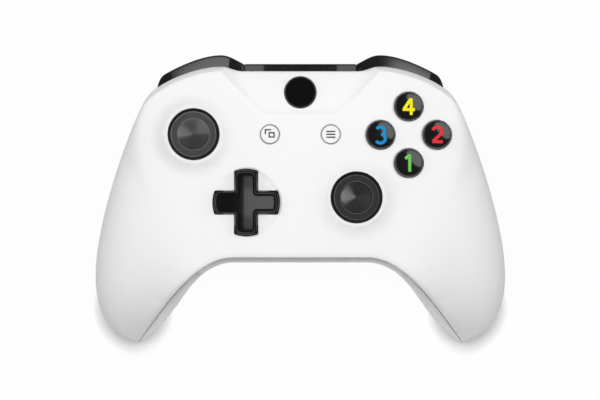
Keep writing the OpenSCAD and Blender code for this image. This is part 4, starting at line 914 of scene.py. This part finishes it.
# Face buttons
# Four black domes moulded in clear-coated plastic, each with a flange under the faceplate and a
# skirt that presses its silicone dome. A plain number is printed on each one in its own colour.
clear_coat = {"Coat_Weight": 1.0, "Coat_Roughness": 0.02}
button_black = moulded(
    "button_black", [(0.004, 0.004, 0.0043), (0.006, 0.006, 0.0064)], (0.12, 0.2), 900, 0.001, **clear_coat
)
button_top, button_dome, stroke = 2.3, 1.6, 1.15
number_colours = {
    "lower_button": (0.17, 0.6, 0.1), "right_button": (0.78, 0.035, 0.045),
    "left_button": (0.006, 0.28, 0.67), "upper_button": (0.93, 0.84, 0.012),
}

# Middle lines of the strokes of each number, millimetres about the button's middle
number_strokes = {
    "lower_button": [[(-1.45, 1.65), (0.25, 2.9), (0.25, -3.1)]],
    "right_button": [arc((0, 1.35), (1.7, 1.6), 165, -35) + [(-1.75, -2.5)], [(-1.85, -2.5), (2, -2.5)]],
    "left_button": [arc((-0.1, 1.45), (1.6, 1.5), 150, -80), arc((-0.1, -1.4), (1.8, 1.65), 80, -150)],
    "upper_button": [[(0.8, -3.1), (0.8, 3)], [(0.7, 2.95), (-2, -1.1)], [(-2.35, -1.1), (2.2, -1.1)]],
}


def dome_height(x, y, base):
    reach = np.clip(1 - (x * x + y * y) / button_r**2, 0, 1)
    return base + button_top - button_dome * (1 - np.sqrt(reach))


def painted_stroke(line, place, base, lift):
    """One stroke of a number as a strip laid on a button's dome."""
    line = np.array(line, float)
    length = np.concatenate([[0], np.cumsum(np.linalg.norm(np.diff(line, axis=0), axis=1))])
    at = np.linspace(0, length[-1], max(6, int(length[-1] / 0.18)))
    line = np.column_stack([np.interp(at, length, line[:, 0]), np.interp(at, length, line[:, 1])])
    run = np.gradient(line, axis=0)
    run /= np.linalg.norm(run, axis=1)[:, None]
    over = np.stack([-run[:, 1], run[:, 0]], 1)
    spread = np.linspace(-stroke / 2, stroke / 2, 7)
    xy = line[:, None] + over[:, None] * spread[None, :, None]
    z = dome_height(xy[..., 0], xy[..., 1], base) + lift
    points = np.concatenate([xy + place, z[..., None]], -1).reshape(-1, 3)
    return points, grid_faces(len(line), len(spread))


dome_edge, dome_groove = [4.7, 4.76, 4.82, 4.9, 5.0, 5.1, 5.2, 5.26], 0.07
flange_r, skirt_r, skirt_in = button_r + 0.9, button_r - 0.6, button_r - 1.8
button_under = [
    (button_r, -5.5), (flange_r, -5.5), (flange_r, -6.7), (skirt_r, -6.7), (skirt_r, -10.5),
    (skirt_in, -10.5), (skirt_in, -6.7), (0.02, -6.7),
]
for name, place in button_places.items():
    base = face_height(place[0])
    dome = [(0.02, base + button_top)]
    for r in np.concatenate([np.linspace(0.4, 4.6, 22), dome_edge]):
        groove = dome_groove if 4.73 < r < 4.85 else 0
        dome.append((r, float(dome_height(r, 0, base)) - groove))
    dome += [(button_r, base + button_top - button_dome)] + button_under
    make_piece(name + "_cap", [(lathe(dome, place, 112), button_black)], name, [name], 40)
    tones = [number_colours[name], tuple(0.94 * c for c in number_colours[name])]
    paint = moulded(name + "_number", tones, (0.2, 0.3), 900, 0.001, **clear_coat)
    coats = []
    for i, line in enumerate(number_strokes[name]):
        coats.append((painted_stroke(line, place, base, 0.012 + 0.004 * i), paint))
    make_piece(name + "_number", coats, name)

# View and menu buttons
# Two small white buttons on stems, with a dark ring round the rim that is painted shade for the gap
# round it, and a dark pad-printed sign on each: two overlapping windows, and three bars.
button_white = moulded("button_white", [(0.89, 0.89, 0.895), (0.87, 0.87, 0.876)], (0.3, 0.4), 3200, 0.004)
sign_print_and_gap_shade = moulded("sign_print_and_gap_shade", [(0.03, 0.03, 0.032), (0.04, 0.04, 0.042)], (0.4, 0.5), 3200, 0.003)
small_top, sign_lift, sign_line = 0.88, 0.015, 0.48


def printed_bars(bars, place, height):
    """Flat printed bars, each a (left, low, right, high) box about the button's middle."""
    points, faces = [], []
    for left, low, right, high in bars:
        faces.append([len(points) + k for k in range(4)])
        corners = ((left, low), (right, low), (right, high), (left, high))
        points += [(place[0] + x, place[1] + y, height) for x, y in corners]
    return np.array(points), faces


def window_frame(left, low, right, high, line):
    return [
        (left, high - line, right, high), (left, low, right, low + line),
        (left, low, left + line, high), (right - line, low, right, high),
    ]


sign_bars = {
    "menu_button": [(-1.68, y - 0.25, 1.68, y + 0.25) for y in (-1.07, 0, 1.07)],
    "view_button": window_frame(-0.5, -1.25, 1.8, 0.85, sign_line),
}
sign_bars["view_button"] += [(-1.9, 1.45, 0.5, 1.93), (-1.9, 0, -1.42, 1.93)]
top_line = [(0.02, small_top)]
top_line += [(r, small_top - 0.012 * r * r) for r in np.linspace(0.5, small_r - 0.5, 8)]
top_line += [(small_r - 0.3, 0.68), (small_r - 0.14, 0.56)]
# The dark band on the chamfer is painted shade standing in for the gap round the button; the same dark also
# prints the signs.
gap_shade_line = [top_line[-1], (small_r - 0.04, 0.44), (small_r, 0.3)]
small_under = [
    (small_r, -2.9), (small_r + 0.9, -2.9), (small_r + 0.9, -3.7), (2, -3.7), (2, -10.5), (0.02, -10.5),
]
for name, place in small_places.items():
    base = face_height(place[0])
    small_zones = [
        (raised(top_line, base), button_white), (raised(gap_shade_line, base), sign_print_and_gap_shade),
        (raised(gap_shade_line[-1:], base) + small_under, button_white),
    ]
    coats = [(turned_surface(profile, place, 96), material) for profile, material in small_zones]
    coats.append((printed_bars(sign_bars[name], place, base + small_top + sign_lift), sign_print_and_gap_shade))
    make_piece(name + "_cap", coats, name, [name], 50)

# Guide button
# The round black button in the sloped panel, moulded in gloss plastic with a rounded edge. Its
# stem reaches a switch on the main board.
guide_black = moulded(
    "guide_black", [(0.002, 0.002, 0.0022), (0.003, 0.003, 0.0032)], (0.12, 0.2), 800, 0.001,
    Coat_Weight=0.4, Coat_Roughness=0.03,
)
guide_line = [(0.02, 0.3)] + [(r, 0.3 - 0.0085 * r * r) for r in np.linspace(0.5, 4.4, 12)]
guide_line += [(5.0, 0.02), (5.35, -0.2), (5.6, -0.42), (5.75, -0.65), (guide_r, -0.85)]
guide_under = [
    (guide_r, -5.1), (guide_r + 0.9, -5.1), (guide_r + 0.9, -5.6), (2.2, -5.6), (1.8, -12.9), (0.02, -12.9),
]
guide_shape = lathe(raised(guide_line, guide_base + 0.9) + guide_under, guide_place, 112)
guide_coats = [(guide_shape, guide_black)]
make_piece("guide_button_cap", guide_coats, "guide_button", ["guide_button"], 40)

# Inside
# Boards, chassis, gimbals, motors, springs, cells and sockets that the housing hides. They keep
# their CAD shapes and get the finish of the stock that they are made from.


def pairs(*names):
    return [f"{side}_{name}" for name in names for side in ("left", "right")]


metal = {"Metallic": 1.0}
for name, tones, roughness, pitch, depth, values, pieces in (
    ("frame_black", [(0.03, 0.03, 0.032), (0.045, 0.045, 0.047)], (0.5, 0.65), 2200, 0.02, {},
     ["mid_frame", "board_header", "bumper_switches"]),
    ("socket_black", [(0.015, 0.015, 0.016), (0.022, 0.022, 0.023)], (0.35, 0.5), 2800, 0.01, {},
     ["headset_socket", "accessory_socket", *pairs("stick_shaft", "stick_yoke")]),
    ("gimbal_grey", [(0.38, 0.38, 0.39), (0.32, 0.32, 0.33)], (0.4, 0.5), 2500, 0.01, {},
     ["dpad_base", *pairs("stick_case")]),
    ("silicone_grey", [(0.25, 0.25, 0.26), (0.3, 0.3, 0.31)], (0.6, 0.7), 1800, 0.02,
     {"Subsurface_Weight": 0.1}, ["button_pad", "menu_pad"]),
    ("bright_steel", [(0.62, 0.62, 0.63), (0.5, 0.5, 0.51)], (0.22, 0.36), 5200, 0.004, metal,
     ["frame_screws", "usb_socket", "dpad_rocker", "battery_contacts",
      *pairs("trigger_pin", "trigger_spring", "rumble_motor", "trigger_motor")]),
    ("dull_metal", [(0.34, 0.33, 0.32), (0.26, 0.25, 0.25)], (0.4, 0.55), 3000, 0.01, metal,
     pairs("rumble_weight", "trigger_weight")),
    ("cell_wrap", [(0.55, 0.3, 0.06), (0.48, 0.25, 0.05)], (0.25, 0.32), 2000, 0.003,
     {"Coat_Weight": 0.4}, ["battery_cells"]),
    ("board_green", [(0.01, 0.11, 0.05), (0.008, 0.08, 0.038)], (0.3, 0.42), 2600, 0.006,
     {"Coat_Weight": 0.3}, ["main_board", "power_board"]),
):
    dress(moulded(name, tones, roughness, pitch, depth, **values), *pieces)

# Copper tracks under the boards' green lacquer
board_tree = bpy.data.materials["board_green"].node_tree
track_place = add_node(board_tree, "TexCoord")
track_bricks = add_node(
    board_tree, "TexBrick", Scale=160, Color1=(0.01, 0.11, 0.05, 1), Color2=(0.008, 0.085, 0.04, 1),
    Mortar=(0.05, 0.2, 0.06, 1), Mortar_Size=0.03,
)
wire(
    board_tree, (track_place, "Object", track_bricks, "Vector"),
    (track_bricks, "Color", board_tree.nodes["Principled BSDF"], "Base Color"),
)

# Floor, light and camera
# A plain white table, its glow darkened near the piece by ambient occlusion as a painted contact
# shadow, and a faint surround. One soft box and two side fills light the whole, and each other box
# lights only the gloss pieces it is linked to; the camera is far off, square to the face.
floor_white, floor_tree, floor_shader = new_material("floor_white")
set_values(floor_shader, Base_Color=(0.65, 0.65, 0.65, 1), Roughness=0.9)
floor_glow = add_node(floor_tree, "Emission", Strength=1)
# Ambient occlusion darkens the floor's glow close to the piece: a painted contact shadow.
floor_contact_shade = add_node(floor_tree, "AmbientOcclusion", Distance=0.006)
floor_path = add_node(floor_tree, "LightPath")
floor_seen, floor_also, floor_share = [add_node(floor_tree, "Math") for _ in range(3)]
for floor_sum in (floor_seen, floor_also):
    floor_sum.operation = "ADD"
    floor_sum.use_clamp = True
floor_share.operation = "MULTIPLY"
floor_share.inputs[1].default_value = 0.97
floor_mix = add_node(floor_tree, "MixShader")
wire(
    floor_tree, (floor_contact_shade, "Color", floor_glow, "Color"),
    (floor_path, "Is Camera Ray", floor_seen, 0), (floor_path, "Is Glossy Ray", floor_seen, 1),
    (floor_seen, 0, floor_also, 0), (floor_path, "Is Transmission Ray", floor_also, 1),
    (floor_also, 0, floor_share, 0), (floor_share, 0, floor_mix, "Fac"),
    (floor_shader, 0, floor_mix, 1), (floor_glow, 0, floor_mix, 2),
    (floor_mix, 0, floor_tree.nodes["Material Output"], "Surface"),
)
floor_half = 4
floor_corners = [(-floor_half, -floor_half, 0), (floor_half, -floor_half, 0)]
floor_corners += [(floor_half, floor_half, 0), (-floor_half, floor_half, 0)]
floor_mesh = bpy.data.meshes.new("floor")
floor_mesh.from_pydata(floor_corners, [], [(0, 1, 2, 3)])
floor_mesh.materials.append(floor_white)
floor = new_object("floor", floor_mesh)

surround = bpy.data.worlds.new("surround")
surround.use_nodes = True
surround_tree = surround.node_tree
surround_light = set_values(surround_tree.nodes["Background"], Color=(1, 1, 1, 1), Strength=0.3)
surround_dim = add_node(surround_tree, "Background", Color=(1, 1, 1, 1), Strength=0.06)
surround_seen = add_node(surround_tree, "Background", Strength=1)
surround_path = add_node(surround_tree, "LightPath")
surround_gloss, surround_mix = [add_node(surround_tree, "MixShader") for _ in range(2)]
wire(
    surround_tree, (surround_path, "Is Glossy Ray", surround_gloss, "Fac"),
    (surround_light, 0, surround_gloss, 1), (surround_dim, 0, surround_gloss, 2),
    (surround_path, "Is Camera Ray", surround_mix, "Fac"),
    (surround_gloss, 0, surround_mix, 1), (surround_seen, 0, surround_mix, 2),
    (surround_mix, 0, surround_tree.nodes["World Output"], "Surface"),
)
bpy.context.scene.world = surround


def soft_box(name, place, size, power):
    """Soft light at a place in the face frame, metres, aimed at the middle of the face."""
    data = bpy.data.lights.new(name, "AREA")
    data.shape = "RECTANGLE"
    data.size, data.size_y = size
    data.energy = power
    lamp = new_object(name, data)
    back = Vector(place).normalized()
    up = back.cross(Vector((1, 0, 0))).normalized()
    turned = Matrix((up.cross(back), up, back)).transposed().to_4x4()
    lamp.matrix_world = face_frame @ Matrix.Translation(place) @ turned
    return lamp


def group_of(name, *members):
    held = bpy.data.collections.new(name)
    for member in members:
        held.objects.link(bpy.data.objects[member])
    return held


stick_caps = pairs("stick_cap")
shadowless = group_of("shadowless", *stick_caps)
for held in shadowless.collection_objects:
    held.light_linking.link_state = "EXCLUDE"
for name, place, size, power in (
    ("front_box", (0, 0.07, 0.46), (0.12, 0.12), 1.47),
    ("left_fill", (-0.55, 0.1, 0.32), (0.2, 0.2), 0.5),
    ("right_fill", (0.55, 0.1, 0.32), (0.2, 0.2), 0.5),
):
    lamp = soft_box(name, place, size, power)
    lamp.visible_glossy = False
    lamp.visible_camera = False
    lamp.light_linking.blocker_collection = shadowless

for name, place, size, power, lit in (
    ("side_box", (0.6, 0.51, 0.62), (1.8, 1.8), 11.5, [f"{button}_cap" for button in button_places]),
    ("stick_box", (0.52, -0.06, 0.85), (0.8, 0.4), 3.6, stick_caps),
    ("low_box", (-0.1, -0.5, 0.86), (1.3, 0.4), 4, ["left_stick_cap"]),
    ("left_stick_box", (-0.5, -0.16, 0.85), (0.8, 0.4), 1.6, ["left_stick_cap"]),
    ("left_top_box", (0, 0.62, 1.07), (1.05, 0.35), 4, ["left_bumper_lever"]),
    ("right_top_box", (0.525, 0.62, 1.07), (0.65, 0.35), 3.1, ["right_bumper_lever"]),
    ("cross_box", (-0.29, 0, 1.46), (0.62, 1.5), 0.4, ["cross_pad"]),
    ("cross_mid_box", (-0.29, 0, 1.459), (0.62, 0.95), 1.1, ["cross_pad"]),
    ("cross_low_box", (-0.29, 0, 1.458), (0.62, 0.5), 0.53, ["cross_pad"]),
    ("left_box", (-0.4, 0, 1.46), (0.62, 1.5), 4.4, ["top_bridge_strip"]),
    ("right_box", (0.4, 0, 1.46), (0.62, 1.5), 4.4, ["top_bridge_strip"]),
):
    lamp = soft_box(name, place, size, power)
    lamp.light_linking.receiver_collection = group_of(f"lit_by_{name}", *lit)
bpy.data.lights["side_box"].shape = "DISK"

part_width, part_pixels, picture_pixels = 0.153, 411, 600
lens_data = bpy.data.cameras.new("face_camera")
lens_data.sensor_width = 36
lens_data.lens = 500
lens_data.clip_end = 20
camera = new_object("face_camera", lens_data)
view_width = picture_pixels * part_width / part_pixels
camera_far = lens_data.lens / lens_data.sensor_width * view_width
view_middle, face_depth = (-0.00013, 0.00015), 0.012
camera.matrix_world = face_frame @ Matrix.Translation((*view_middle, camera_far - face_depth))
bpy.context.scene.camera = camera
bpy.context.scene.view_settings.view_transform = "Standard"
